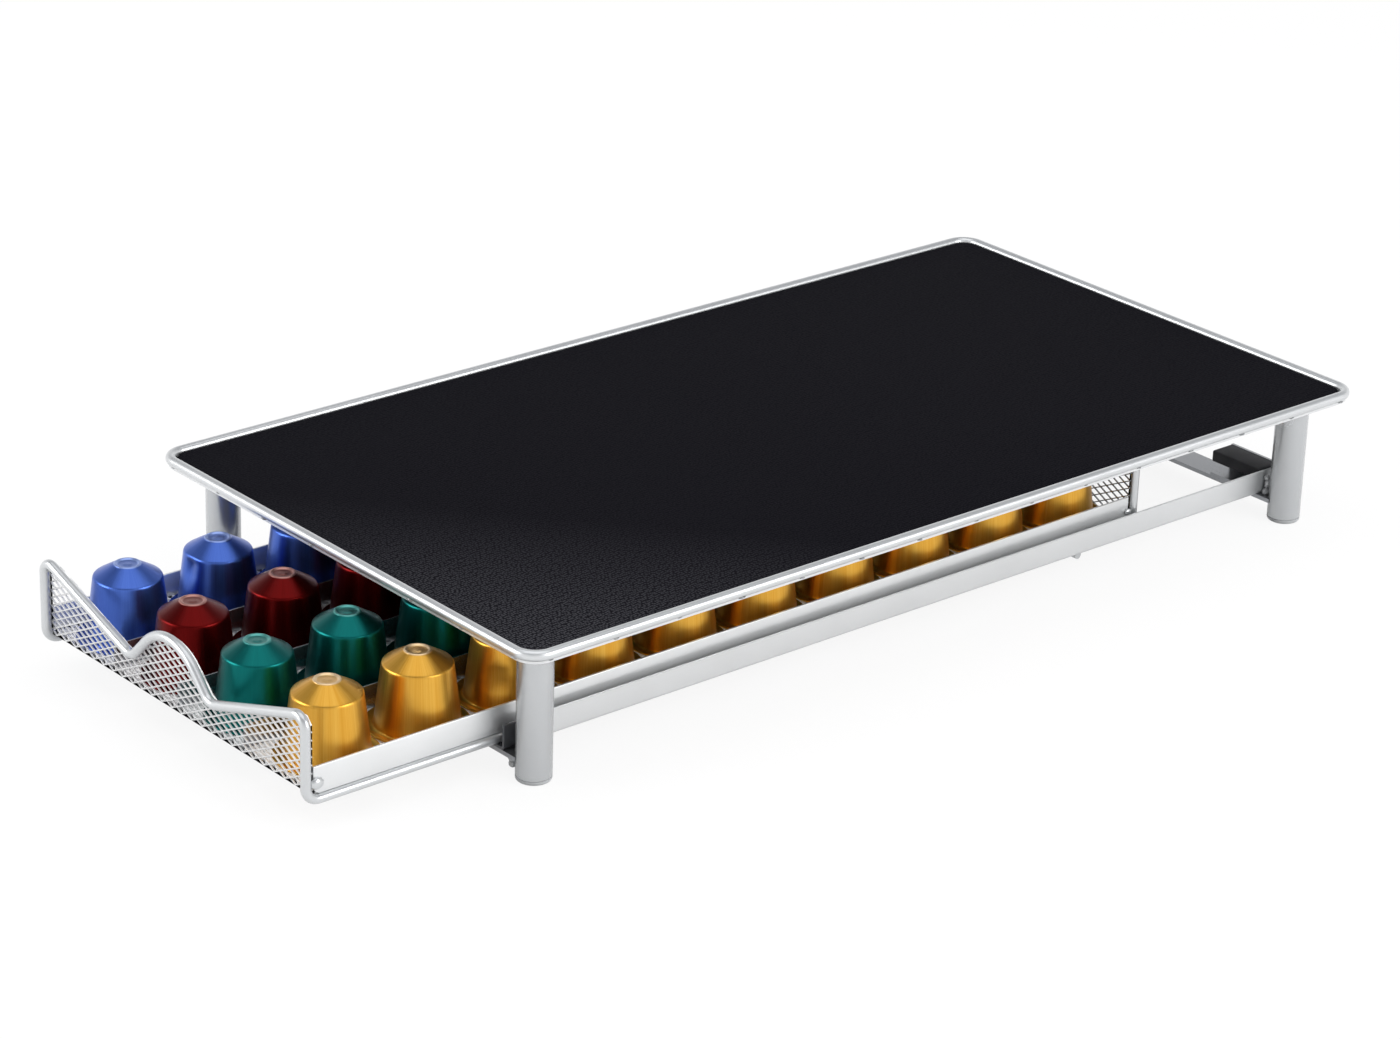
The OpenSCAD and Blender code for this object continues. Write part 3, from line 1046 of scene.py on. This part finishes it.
def lump(at: Vector, size: Vector, rng: np.random.Generator, steps: int = 8) -> Shape:
    """A small uneven bead of weld metal.

    Args:
        at: its middle.
        size: half its length along each axis.
        rng: where its unevenness comes from.
        steps: how many rings it has.

    Returns:
        The closed form.
    """
    bead = lathe(arc(0.0, 0.0, 1.0, -90.0, steps, 180.0), 12)
    for p in bead.points:
        swell = 1 + float(rng.uniform(-0.12, 0.12))
        p.x, p.y, p.z = at.x + p.x * size.x * swell, at.y + p.y * size.y * swell, at.z + p.z * size.z
    return bead


def dress(node: bpy.types.Object, finish: bpy.types.Material) -> None:
    """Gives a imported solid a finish.

    Args:
        node: the solid.
        finish: its material.
    """
    node.data.materials.clear()
    node.data.materials.append(finish)
    log.info("%s keeps its solid in %s", node.name, finish.name)


@dataclass
class StandBase:
    """The legs, their plugs, the rails, the cross strips, the stops and the weld beads."""

    tube_paint: bpy.types.Material
    rail_lit_and_shaded_paint: bpy.types.Material
    shaded_bracket_paint: bpy.types.Material
    plastic: bpy.types.Material
    rubber: bpy.types.Material
    weld: bpy.types.Material
    rail_t: float = 1.0 * MM
    rail_bend: float = 1.6 * MM
    rail_edge: float = 0.25 * MM
    rail_root: float = 0.6 * MM
    bumper_edge: float = 0.7 * MM
    flare: float = 0.9 * MM

    def build(self, nodes: dict[str, bpy.types.Object]) -> None:
        """Builds and dresses the pieces under the tabletop.

        Args:
            nodes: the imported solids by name.
        """
        for name in ("front_left_leg", "front_right_leg", "rear_left_leg", "rear_right_leg"):
            self._leg(name)
        self._rails()
        # The cross strips and the stop brackets take a darker copy of the paint, as painted shade.
        for name in ("front_cross_strip", "rear_cross_strip", "left_stop_bracket", "right_stop_bracket"):
            dress(nodes[name], self.shaded_bracket_paint)
        for name in ("left_bumper", "right_bumper"):
            low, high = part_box(name)
            form = block(low, high, self.bumper_edge)
            piece(name + "_block", form, self.rubber, Body.STAND, [name])
        dress(nodes["leg_plugs"], self.plastic)
        self._weld_beads()

    def _weld_beads(self) -> None:
        """Uneven beads where the strips and the rails meet the legs."""
        rng = np.random.default_rng(7)
        rail_z, strip_z = (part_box(name)[0].z for name in ("right_rail", "front_cross_strip"))
        beads = Shape()
        for name, way, back in (("front_right_leg", -1, 0.0), ("rear_right_leg", 1, 3.0)):
            low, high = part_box(name)
            y = (low.y + high.y) / 2
            strip, rail = Vector((low.x, y, strip_z)), Vector((low.x, y, rail_z))
            # For each bead what it is measured from, how far off it lies and its half size, in mm.
            spots = [
                (strip, (-0.3, way * 3.8, -0.9), (1.5, 1.5, 1.5)),
                (strip, (-0.1, way * 4.0, -2.6), (1.4, 1.3, 1.5)),
                (rail, (-0.9, -back, 1.2), (1.5, 1.8, 1.7)),
                (rail, (-1.1, 1.0 - back, 4.2), (1.3, 1.6, 2.1)),
                (rail, (-1.0, 0.2 - back, 7.0), (1.2, 1.3, 1.3)),
            ]
            for seat, off, size in spots:
                beads.add(lump(seat + Vector(off) * MM, Vector(size) * MM, rng))
        beads.add(beads.mirrored())
        piece("leg_weld_beads", beads, self.weld, Body.STAND, ["weld_beads"])

    def _leg(self, name: str) -> None:
        """A tube leg with a fillet of weld where it meets the sheet.

        Args:
            name: the solid that it replaces.
        """
        low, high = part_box(name)
        r, foot, head, flare = (high.x - low.x) / 2, low.z, high.z, self.flare
        edge = [(r - 0.5 * MM, foot), (r - 0.15 * MM, foot + 0.12 * MM), (r, foot + 0.45 * MM)]
        fillet = [(r, head - flare - 0.4 * MM), (r + 0.12 * MM, head - flare * 0.6)]
        fillet += [(r + 0.4 * MM, head - flare * 0.2), (r + 0.8 * MM, head)]
        middle = Vector(((low.x + high.x) / 2, (low.y + high.y) / 2, 0))
        form = lathe([(0.0, foot), *edge, *fillet, (0.0, head)], 64)
        form = form.moved(Matrix.Translation(middle))
        piece(name + "_tube", form, self.tube_paint, Body.STAND, [name], 40)

    def _rails(self) -> None:
        """The two angle rails, with a rounded outer bend and softened edges."""
        low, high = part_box("right_rail")
        soft, root, bend = self.rail_edge, self.rail_root, self.rail_bend
        inner, floor = high.x - self.rail_t, low.z + self.rail_t
        section = [(low.x + soft, low.z), (low.x, low.z + soft), (low.x, floor - soft)]
        section += [(low.x + soft, floor), (inner - root, floor), (inner, floor + root)]
        section += [(inner, high.z - soft), (inner + soft, high.z)]
        section += [(high.x - soft, high.z), (high.x, high.z - soft)]
        section += arc(high.x - bend, low.z + bend, bend, 0.0, 6, -90.0)
        count = len(section)
        form = Shape([Vector((x, low.y, z)) for x, z in section])
        form.points += [Vector((x, high.y, z)) for x, z in section]
        form.faces.append(tuple(range(count)))
        form.faces.append(tuple(reversed(range(count, 2 * count))))
        for k in range(count):
            m = (k + 1) % count
            form.faces.append((k, k + count, m + count, m))
        right = welded(form)
        for side, rail in (("right", right), ("left", right.mirrored())):
            name, replaced = f"{side}_angle_rail", [f"{side}_rail"]
            piece(name, rail, self.rail_lit_and_shaded_paint, Body.STAND, replaced, 32)


# ---------------------------------------------------------------- the drawer


@dataclass
class WireDrawer:
    """The bent wire frame, the diamond sheets, the bands, the dividers and the hook wire."""

    paint: bpy.types.Material
    lit_mesh_paint: bpy.types.Material
    lit_sheet_paint: bpy.types.Material
    shaded_strip_paint: bpy.types.Material
    wire_r: float = 1.8 * MM
    hook_r: float = 1.5 * MM
    corner_r: float = 4.2 * MM
    foot_r: float = 5.0 * MM
    dip_r: float = 6.0 * MM
    grip_r: float = 20.2 * MM
    dip_x: float = 23.5 * MM
    dip_h: float = 14.0 * MM
    grip_h: float = 29.2 * MM
    rear_h: float = 29.0 * MM
    hook_bend: float = 2.5 * MM
    hook_past_rail: float = 3.0 * MM
    mesh_inset: float = 0.2 * MM
    rear_strand: float = 0.55 * MM
    band_corner: float = 3.0 * MM
    band_edge: float = 0.28 * MM
    divider_edge: float = 0.22 * MM
    side_x: float = field(init=False)
    side_z: float = field(init=False)
    front_y: float = field(init=False)
    rear_y: float = field(init=False)
    corner_z: float = field(init=False)

    def build(self, nodes: dict[str, bpy.types.Object]) -> None:
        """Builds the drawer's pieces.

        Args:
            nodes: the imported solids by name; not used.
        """
        self._measure()
        self._frame()
        self._front_sheet()
        self._rear_sheet()
        self._floor_sheet()
        self._hook()
        self._bands()
        self._dividers()
        self._spot_welds()

    def _measure(self) -> None:
        """Places of the frame's middle line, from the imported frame."""
        low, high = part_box("drawer_wire_frame")
        self.side_x, self.side_z = high.x - self.wire_r, low.z + self.wire_r
        self.front_y, self.rear_y = low.y + self.wire_r, high.y - self.wire_r
        self.corner_z = high.z - self.wire_r

    def _spot_welds(self) -> None:
        """Rounded welds that bridge the upright wires and the ends of the bands."""
        rng = np.random.default_rng(5)
        low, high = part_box("drawer_welds")
        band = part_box("right_side_band")
        x, z = band[1].x + 0.4 * MM, band[0].z + 4.2 * MM
        spots = Shape()
        for y, size in ((low.y + 2.5 * MM, (1.3, 2.6, 2.2)), (high.y - 2.0 * MM, (0.8, 1.6, 1.3))):
            spots.add(lump(Vector((x, y, z)), Vector(size) * MM, rng, 12))
        spots.add(spots.mirrored())
        piece("band_spot_welds", spots, self.paint, Body.DRAWER, ["drawer_welds"])

    def _front_bends(self) -> list[Bend]:
        """Corners of the waved front outline, from the right foot to the left one.

        The flanks run from the dips and touch the grip's arc, so its corner lies where they meet.
        """
        dip_z, top_z = self.side_z + self.dip_h, self.side_z + self.grip_h
        rise, run = top_z - self.grip_r - dip_z, self.dip_x
        flank = math.atan2(rise, run) + math.asin(self.grip_r / math.hypot(rise, run))
        peak = dip_z + run * math.tan(flank)
        outline = [
            (self.side_x, self.corner_z, self.corner_r),
            (self.dip_x, dip_z, self.dip_r),
            (0.0, peak, self.grip_r),
            (-self.dip_x, dip_z, self.dip_r),
            (-self.side_x, self.corner_z, self.corner_r),
        ]
        return [Bend(Vector((x, self.front_y, z)), r) for x, z, r in outline]

    def _frame(self) -> None:
        """The closed wire: side wires, waved front and rear rectangle."""
        x, y0, y1, z = self.side_x, self.front_y, self.rear_y, self.side_z
        top = z + self.rear_h
        bends = [Bend(Vector((x, y1, z)), self.foot_r), Bend(Vector((x, y0, z)), self.foot_r)]
        bends += self._front_bends()
        bends += [Bend(Vector((-x, y0, z)), self.foot_r), Bend(Vector((-x, y1, z)), self.foot_r)]
        bends += [Bend(Vector((-x, y1, top)), self.foot_r), Bend(Vector((x, y1, top)), self.foot_r)]
        form = sweep(wire_line(bends), round_section(self.wire_r), closed=True)
        piece("bent_wire_frame", form, self.paint, Body.DRAWER, ["drawer_wire_frame"])

    def _front_sheet(self) -> None:
        """The front sheet, cut to the waved outline."""
        low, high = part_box("front_mesh")
        feet = [Bend(Vector((x, self.front_y, self.side_z)), 0.0) for x in (self.side_x, -self.side_x)]
        line = wire_line([feet[0], *self._front_bends(), feet[1]], closed=False)[-2:0:-1]
        xs = [p.x for p in line]
        zs = [p.z - self.mesh_inset for p in line]

        def limit(x: float) -> float:
            """The height of the waved outline at x."""
            return float(np.interp(x, xs, zs))

        form = DiamondSheet(high.y - low.y).build((low.x, low.z), (high.x, high.z), limit)
        self._stand_sheet("front", form, self.lit_mesh_paint)

    def _rear_sheet(self) -> None:
        """The rear sheet, of thinner strands, in the darker copy of the paint as painted shade."""
        low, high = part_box("rear_mesh")
        sheet = DiamondSheet(high.y - low.y, strand=self.rear_strand)
        self._stand_sheet("rear", sheet.build((low.x, low.z), (high.x, high.z)), self.shaded_strip_paint)

    @staticmethod
    def _stand_sheet(end: str, form: Shape, finish: bpy.types.Material) -> None:
        """Stands a flat diamond sheet up across the drawer.

        Args:
            end: which end of the drawer it closes, front or rear.
            form: the sheet, lying flat.
            finish: its material.
        """
        low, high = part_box(f"{end}_mesh")
        upright = Matrix.Translation((0, (low.y + high.y) / 2, 0)) @ Matrix.Rotation(math.pi / 2, 4, "X")
        form = welded(form.moved(upright))
        piece(f"{end}_diamond_sheet", form, finish, Body.DRAWER, [f"{end}_mesh"], 60)

    def _floor_sheet(self) -> None:
        """The floor sheet, with the same small diamonds as the panels."""
        low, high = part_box("floor_mesh")
        form = DiamondSheet(high.z - low.z).build((low.x, low.y), (high.x, high.y))
        form = welded(form.moved(Matrix.Translation((0, 0, (low.z + high.z) / 2))))
        piece("floor_diamond_sheet", form, self.lit_mesh_paint, Body.DRAWER, ["floor_mesh"], 60)

    def _hook(self) -> None:
        """The wire under the floor, whose ends reach below the rails."""
        low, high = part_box("hook_wire")
        r, y = self.hook_r, (low.y + high.y) / 2
        down, up = low.z + r, high.z - r
        foot_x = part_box("right_rail")[0].x - self.hook_past_rail
        head_x = foot_x - 1.2 * (up - down)
        half = [(head_x, up), (foot_x, down), (high.x, down)]
        places = [(-x, z) for x, z in reversed(half)] + half
        bends = [Bend(Vector((x, y, z)), self.hook_bend) for x, z in places]
        form = sweep(wire_line(bends, closed=False), round_section(r, 20), closed=False)
        piece("hook_wire_bar", form, self.paint, Body.DRAWER, ["hook_wire"])

    def _bands(self) -> None:
        """The flat side bands, with rounded lower corners."""
        low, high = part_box("right_side_band")
        r = self.band_corner
        outline = [(high.y, high.z), (low.y, high.z)]
        outline += arc(low.y + r, low.z + r, r, 180.0, 8)
        outline += arc(high.y - r, low.z + r, r, 270.0, 8)
        flat = plate(outline, low.x, high.x, self.band_edge)
        swap = Matrix(((0, 0, 1, 0), (1, 0, 0, 0), (0, 1, 0, 0), (0, 0, 0, 1)))
        right = welded(flat.moved(swap))
        for side, band in (("right", right), ("left", right.mirrored())):
            replaced = [f"{side}_side_band"]
            piece(f"{side}_band", band, self.lit_sheet_paint, Body.DRAWER, replaced, 40)

    def _dividers(self) -> None:
        """The three lane dividers, in the darker copy of the paint as painted shade."""
        for name in ("left_divider", "middle_divider", "right_divider"):
            low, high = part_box(name)
            form = block(low, high, self.divider_edge)
            piece(name + "_strip", form, self.shaded_strip_paint, Body.DRAWER, [name], 40)


# ---------------------------------------------------------------- the pods


@dataclass(frozen=True)
class Dent:
    """A soft dent in the side of a pod, which is counted from the front of its lane."""

    pod: int
    angle: float
    height: float
    depth: float
    width: float
    tall: float

    def press(self, pod: Shape, inner: float, rim: float) -> None:
        """Presses the dent into a pod.

        Args:
            pod: the pod's form, standing at the origin, which is changed.
            inner: the radius inside which nothing moves.
            rim: the height below which nothing moves.
        """
        for p in pod.points:
            flat = math.hypot(p.x, p.y)
            if flat < inner or p.z < rim:
                continue
            off = (math.degrees(math.atan2(p.y, p.x)) - self.angle + 180) % 360 - 180
            across = math.radians(off) * flat / self.width
            up = (p.z - self.height) / self.tall
            push = self.depth * math.exp(-(across * across + up * up))
            p.x -= p.x / flat * push
            p.y -= p.y / flat * push


@dataclass
class PodLane:
    """One lane of pods of one colour."""

    node: str
    finish: bpy.types.Material
    slot: Slot
    seed: int
    dents: tuple[Dent, ...] = ()
    segments: int = 96
    top_r: float = 12.2 * MM
    # Where the painted highlight lies on the nose: the ring's outer and inner radius, its soft edge, and
    # the highlight's share on the ring and in the middle.
    ring_out: float = 4.97 * MM
    ring_in: float = 3.5 * MM
    ring_fade: float = 0.3 * MM
    ring_highlight: float = 0.7
    centre_highlight: float = 0.3
    height: float = 27.8 * MM
    rim_h: float = 1.6 * MM
    tip_h: float = 0.2 * MM
    tip_gap: float = 10.0 * MM

    def build(self, nodes: dict[str, bpy.types.Object]) -> None:
        """Builds the lane as one piece.

        Args:
            nodes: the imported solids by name.
        """
        rng = np.random.default_rng(self.seed)
        lane, axis, nose = Shape(), [], []
        for index, seat in enumerate(self._seats(nodes[self.node])):
            turned = float(rng.uniform(0, 2 * math.pi))
            pod = self._pod(index)
            for p in pod.points:
                t = math.atan2(p.y, p.x) + turned
                axis.append((math.cos(t), math.sin(t), p.z / MM + 60 * index))
                # The share of the painted highlight on the nose, stored on each point.
                nose.append(self._highlight_share(p))
            lane.add(pod.moved(Matrix.Translation(seat)))
        name = f"{self.slot.value}_lane"
        made = piece(name, lane, self.finish, Body.DRAWER, [self.node], 180)
        stored = made.data.attributes.new("pod_axis", "FLOAT_VECTOR", "POINT")
        stored.data.foreach_set("vector", np.array(axis, np.float32).ravel())
        stored = made.data.attributes.new("pod_nose_highlight", "FLOAT", "POINT")
        stored.data.foreach_set("value", np.array(nose, np.float32))

    def _seats(self, solid: bpy.types.Object) -> list[Vector]:
        """Where the pods stand, from the front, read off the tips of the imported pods.

        Args:
            solid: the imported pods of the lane.

        Returns:
            The middle of each pod's foot.
        """
        low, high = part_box(self.node)
        points = np.array([v.co for v in solid.data.vertices])
        tips = points[points[:, 2] > high.z - self.tip_h]
        tips = tips[np.argsort(tips[:, 1])]
        groups = np.split(tips, np.nonzero(np.diff(tips[:, 1]) > self.tip_gap)[0] + 1)
        middles = [(group.min(0) + group.max(0)) / 2 for group in groups]
        return [Vector((x, y, low.z)) for x, y, _ in middles]

    def _highlight_share(self, p: Vector) -> float:
        """Share of the painted highlight, the nose's paler colour, at a point of a pod, most of it on
        the ring.
        """
        flat = math.hypot(p.x, p.y)
        if p.z < self.height / 2 or flat > self.ring_out:
            return 0.0
        pale = self.ring_highlight if flat > self.ring_in else self.centre_highlight
        return pale * min(1.0, (self.ring_out - flat) / self.ring_fade)

    @staticmethod
    def _profile() -> list[Pair]:
        """Half section of a pod: rolled rim, tapered body, shoulder, cone and nose ring."""
        rim = [(0.0, 0.0), (17.6, 0.0), (18.1, 0.03), (18.35, 0.12), (18.48, 0.3), (18.5, 0.5)]
        rim += [(18.46, 0.7), (18.33, 0.86), (18.1, 0.95), (17.8, 0.92), (17.55, 0.8), (17.2, 0.62)]
        foot = [(16.4, 0.52), (15.6, 0.56), (15.15, 0.72), (14.98, 1.1), (14.9, 1.8), (14.78, 2.6)]
        body = [(14.3, 6.8), (13.75, 11.2), (13.15, 16.0), (12.62, 20.2), (12.4, 21.9), (12.3, 22.5)]
        shoulder = [(12.18, 22.85), (11.98, 23.12), (11.65, 23.38), (10.9, 23.82)]
        cone = [(9.4, 24.75), (7.8, 25.72), (6.3, 26.6), (5.3, 27.16), (4.98, 27.32)]
        ring = [(4.84, 27.48), (4.68, 27.66), (4.45, 27.78), (4.15, 27.8), (3.85, 27.68), (3.6, 27.44)]
        nose = [(3.2, 27.26), (2.5, 27.2), (1.7, 27.2), (1.4, 27.32), (1.1, 27.42), (0.6, 27.42)]
        tip = [(0.0, 27.42)]
        return [(r * MM, z * MM) for r, z in rim + foot + body + shoulder + cone + ring + nose + tip]

    def _pod(self, index: int) -> Shape:
        """One pod standing at the origin, with its dents.

        Args:
            index: the pod's place in the lane, from the front.

        Returns:
            The closed form.
        """
        pod = lathe(self._profile(), self.segments)
        for dent in self.dents:
            if dent.pod == index:
                dent.press(pod, self.top_r * 0.8, self.rim_h)
        return pod


# ---------------------------------------------------------------- the studio


@dataclass(frozen=True)
class Softbox:
    """A rectangular lamp, with its power in watts."""

    name: str
    at: tuple[float, float, float]
    aim: tuple[float, float, float]
    size: Pair
    power: float

    def hang(self) -> None:
        """Hangs the lamp in the scene."""
        data = bpy.data.lights.new(self.name, "AREA")
        data.shape = "RECTANGLE"
        data.size, data.size_y = self.size
        data.energy = self.power
        lamp = bpy.data.objects.new(self.name, data)
        lamp.location = self.at
        direction = Vector(self.aim) - Vector(self.at)
        lamp.rotation_mode = "QUATERNION"
        lamp.rotation_quaternion = direction.to_track_quat("-Z", "Y")
        bpy.context.scene.collection.objects.link(lamp)


@dataclass
class Studio:
    """The camera, the floor, the world and the lamps.

    The ramps run from straight down, 0, over the horizon, 0.5, to straight up, 1.
    """

    azimuth: float = 48.90
    elevation: float = 23.33
    roll: float = 1.88
    lens: float = 107.94
    eye: tuple[float, float, float] = (1.0758, -0.9398, 0.6403)
    floor_half: float = 12.0
    lit_floor: Colour = (0.45, 0.45, 0.45)
    glow: float = 0.88
    glow_in_metal: float = 0.4
    world: float = 0.75
    bright_side: Pair = (0.277, 0.315)
    light_ramp: tuple[tuple[float, Colour], ...] = (
        (0.0, (0.6, 0.6, 0.6)),
        (0.5, (0.35, 0.36, 0.38)),
        (0.75, (0.9, 0.9, 0.92)),
        (1.0, (1.0, 1.0, 1.0)),
    )
    mirror_ramp: tuple[tuple[float, Colour], ...] = (
        (0.0, (1.0, 1.0, 1.0)),
        (0.62, (1.0, 1.0, 1.0)),
        (0.85, (0.28, 0.29, 0.31)),
        (1.0, (0.22, 0.23, 0.25)),
    )
    lamps: tuple[Softbox, ...] = (
        Softbox("top_softbox", (0.1, -0.1, 1.6), (0.0, 0.0, 0.0), (1.7, 1.7), 9.8),
        Softbox("front_softbox", (-0.9, -1.6, 0.8), (0.0, -0.15, 0.03), (1.2, 0.9), 18.5),
        Softbox("right_softbox", (1.7, 0.6, 0.8), (0.0, 0.0, 0.03), (1.2, 1.0), 17.0),
    )

    def build(self) -> None:
        """Sets up everything around the object."""
        self._camera()
        self._floor()
        self._world()
        for lamp in self.lamps:
            lamp.hang()
        bpy.context.scene.view_settings.view_transform = "Standard"

    def _camera(self) -> None:
        """The camera, at the object's usual three-quarter angle."""
        a, e, r = (math.radians(v) for v in (self.azimuth, self.elevation, self.roll))
        ahead = Vector((-math.sin(a) * math.cos(e), math.cos(a) * math.cos(e), -math.sin(e)))
        right = ahead.cross(Vector((0, 0, 1))).normalized()
        up = right.cross(ahead)
        across = right * math.cos(r) + up * math.sin(r)
        above = up * math.cos(r) - right * math.sin(r)
        turn = Matrix((across, above, -ahead)).transposed()
        data = bpy.data.cameras.new("camera")
        data.lens, data.sensor_width = self.lens, 36.0
        data.clip_start, data.clip_end = 0.05, 50.0
        camera = bpy.data.objects.new("camera", data)
        camera.matrix_world = Matrix.Translation(self.eye) @ turn.to_4x4()
        bpy.context.scene.collection.objects.link(camera)
        bpy.context.scene.camera = camera

    def _floor(self) -> None:
        """A pale floor that keeps a soft shadow."""
        half = self.floor_half
        mesh = bpy.data.meshes.new("floor")
        places = [(-half, -half, 0), (half, -half, 0), (half, half, 0), (-half, half, 0)]
        mesh.from_pydata(places, [], [(0, 1, 2, 3)])
        s = Shader.named("floor_paint")
        grain = s.noise(s.place(), 40.0, 3.0)
        pale = s.blend(grain, (0.93, 0.93, 0.93), (0.95, 0.95, 0.95))
        colour = s.blend(self._shown(s, 1.0), self.lit_floor, pale)
        matt = s.node("ShaderNodeBsdfDiffuse", None, {"Color": colour})
        white = s.node("ShaderNodeEmission", None, {"Color": (1, 1, 1), "Strength": 1.0})
        share = self._shown(s, self.glow_in_metal) * self.glow
        mixed = s.node("ShaderNodeMixShader", None, {0: share, 1: matt, 2: white})
        s.node("ShaderNodeOutputMaterial", None, {"Surface": mixed})
        mesh.materials.append(s.owner)
        floor = bpy.data.objects.new("floor", mesh)
        bpy.context.scene.collection.objects.link(floor)

    @staticmethod
    def _shown(s: Shader, mirrored: float) -> Value:
        """1 for rays that show the background itself.

        Args:
            s: the material or the world.
            mirrored: the share for what is seen in metal or through glass.

        Returns:
            The share as a Value.
        """
        straight = s.node("ShaderNodeLightPath", None, None, "Is Camera Ray")
        outputs = straight.socket.node.outputs
        in_metal, in_glass = (Value(s, outputs[f"Is {kind} Ray"]) for kind in ("Glossy", "Transmission"))
        return (straight + (in_metal + in_glass) * mirrored).clip()

    def _world(self) -> None:
        """A pale surround: white where it is seen, softly shaded where it lights the object."""
        world = bpy.data.worlds.new("surround")
        bpy.context.scene.world = world
        s = Shader(world)
        look = s.node("ShaderNodeTexCoord", out="Generated")
        x, y, z = s.parts(look)
        rise = (z * 0.5 + 0.5).clip()
        tone = s.node("ShaderNodeValToRGB", {"stops": self.light_ramp}, {0: rise}, "Color")
        mirrored = s.node("ShaderNodeValToRGB", {"stops": self.mirror_ramp}, {0: rise}, "Color")
        sideways = x * self.bright_side[0] + y * self.bright_side[1] + 1.0
        soft = s.node("ShaderNodeBackground", None, {"Color": tone, "Strength": sideways * self.world})
        straight = s.node("ShaderNodeLightPath", None, None, "Is Camera Ray")
        backdrop = s.blend(straight, mirrored, (1.0, 1.0, 1.0))
        white = s.node("ShaderNodeBackground", None, {"Color": backdrop, "Strength": 1.0})
        mixed = s.node("ShaderNodeMixShader", None, {0: self._shown(s, 1.0), 1: soft, 2: white})
        s.node("ShaderNodeOutputWorld", None, {"Surface": mixed})


# ---------------------------------------------------------------- the whole object


def pod_lanes() -> list[PodLane]:
    """The four lanes with their colours and dents, from left to right."""
    # The third colour of each foil is the painted highlight on its nose ring.
    blue = PodFoil("blue_foil", (0.085, 0.172, 0.56), (0.048, 0.105, 0.43), (0.42, 0.54, 0.90))
    red = PodFoil("red_foil", (0.135, 0.003, 0.003), (0.090, 0.001, 0.001), (0.62, 0.34, 0.30))
    green = PodFoil("green_foil", (0.004, 0.155, 0.145), (0.002, 0.105, 0.100), (0.16, 0.50, 0.46))
    gold = PodFoil("gold_foil", (0.76, 0.46, 0.09), (0.56, 0.245, 0.014), (0.94, 0.76, 0.52))
    low_blue = Dent(0, -25, 5 * MM, 1.6 * MM, 3.5 * MM, 3.0 * MM)
    high_blue = Dent(1, -88, 18.5 * MM, 2.4 * MM, 3.4 * MM, 3.2 * MM)
    left_gold = Dent(2, -45, 10 * MM, 2.6 * MM, 5.5 * MM, 2.4 * MM)
    low_gold = Dent(2, -8, 6 * MM, 2.0 * MM, 4.0 * MM, 3.0 * MM)
    return [
        PodLane("blue_pods", blue.material(), Slot.BLUE_POD, 1, (low_blue, high_blue)),
        PodLane("red_pods", red.material(), Slot.RED_POD, 2),
        PodLane("green_pods", green.material(), Slot.GREEN_POD, 3),
        PodLane("gold_pods", gold.material(), Slot.GOLD_POD, 4, (left_gold, low_gold)),
    ]


def corners(box: tuple[Vector, Vector]) -> list[list[float]]:
    """A box as plain lists of numbers."""
    return [list(corner) for corner in box]


def main() -> None:
    """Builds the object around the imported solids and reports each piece."""
    logging.basicConfig(level=logging.INFO, format="%(name)s: %(message)s")
    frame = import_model()
    nodes = frame["nodes"]
    # Painted shadow: a dark line along the seam under the rim wire, where the wire's underside meets the
    # sheet.
    seam = PaintedShade(Axis.UP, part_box("top_rim_wire")[0].z, 0.55 * MM, 0.85)
    # Painted shade and reflection: darker bands on the rails where they pass the front and rear legs,
    # standing in for the legs' shadow and the dark of the legs mirrored there.
    front, rear = (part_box(name)[0].y for name in ("front_right_leg", "rear_right_leg"))
    leg_shadows = (
        PaintedShade(Axis.ALONG, front + 2 * MM, 8 * MM, 0.92),
        PaintedShade(Axis.ALONG, rear + 8 * MM, 6 * MM, 0.7),
    )
    lit_sheet_paint, weld = LIT_SHEET_PAINT.material(), WeldMetal().material()
    Tabletop(
        rim_paint=replace(RIM_PAINT, painted_shades=(seam,)).material(),
        lit_sheet_paint=lit_sheet_paint,
        mat=PebbledMat().material(),
        weld=weld,
    ).build(nodes)
    StandBase(
        tube_paint=TUBE_PAINT.material(),
        rail_lit_and_shaded_paint=replace(LIT_SHEET_PAINT, name="rail_lit_and_shaded_paint", painted_shades=leg_shadows).material(),
        shaded_bracket_paint=SHADED_BRACKET_PAINT.material(),
        plastic=PlugPlastic().material(),
        rubber=SoftRubber().material(),
        weld=weld,
    ).build(nodes)
    WireDrawer(
        paint=WIRE_PAINT.material(),
        lit_mesh_paint=LIT_MESH_PAINT.material(),
        lit_sheet_paint=lit_sheet_paint,
        shaded_strip_paint=SHADED_STRIP_PAINT.material(),
    ).build(nodes)
    for lane in pod_lanes():
        lane.build(nodes)
    Studio().build()


if __name__ == "__main__":
    main()
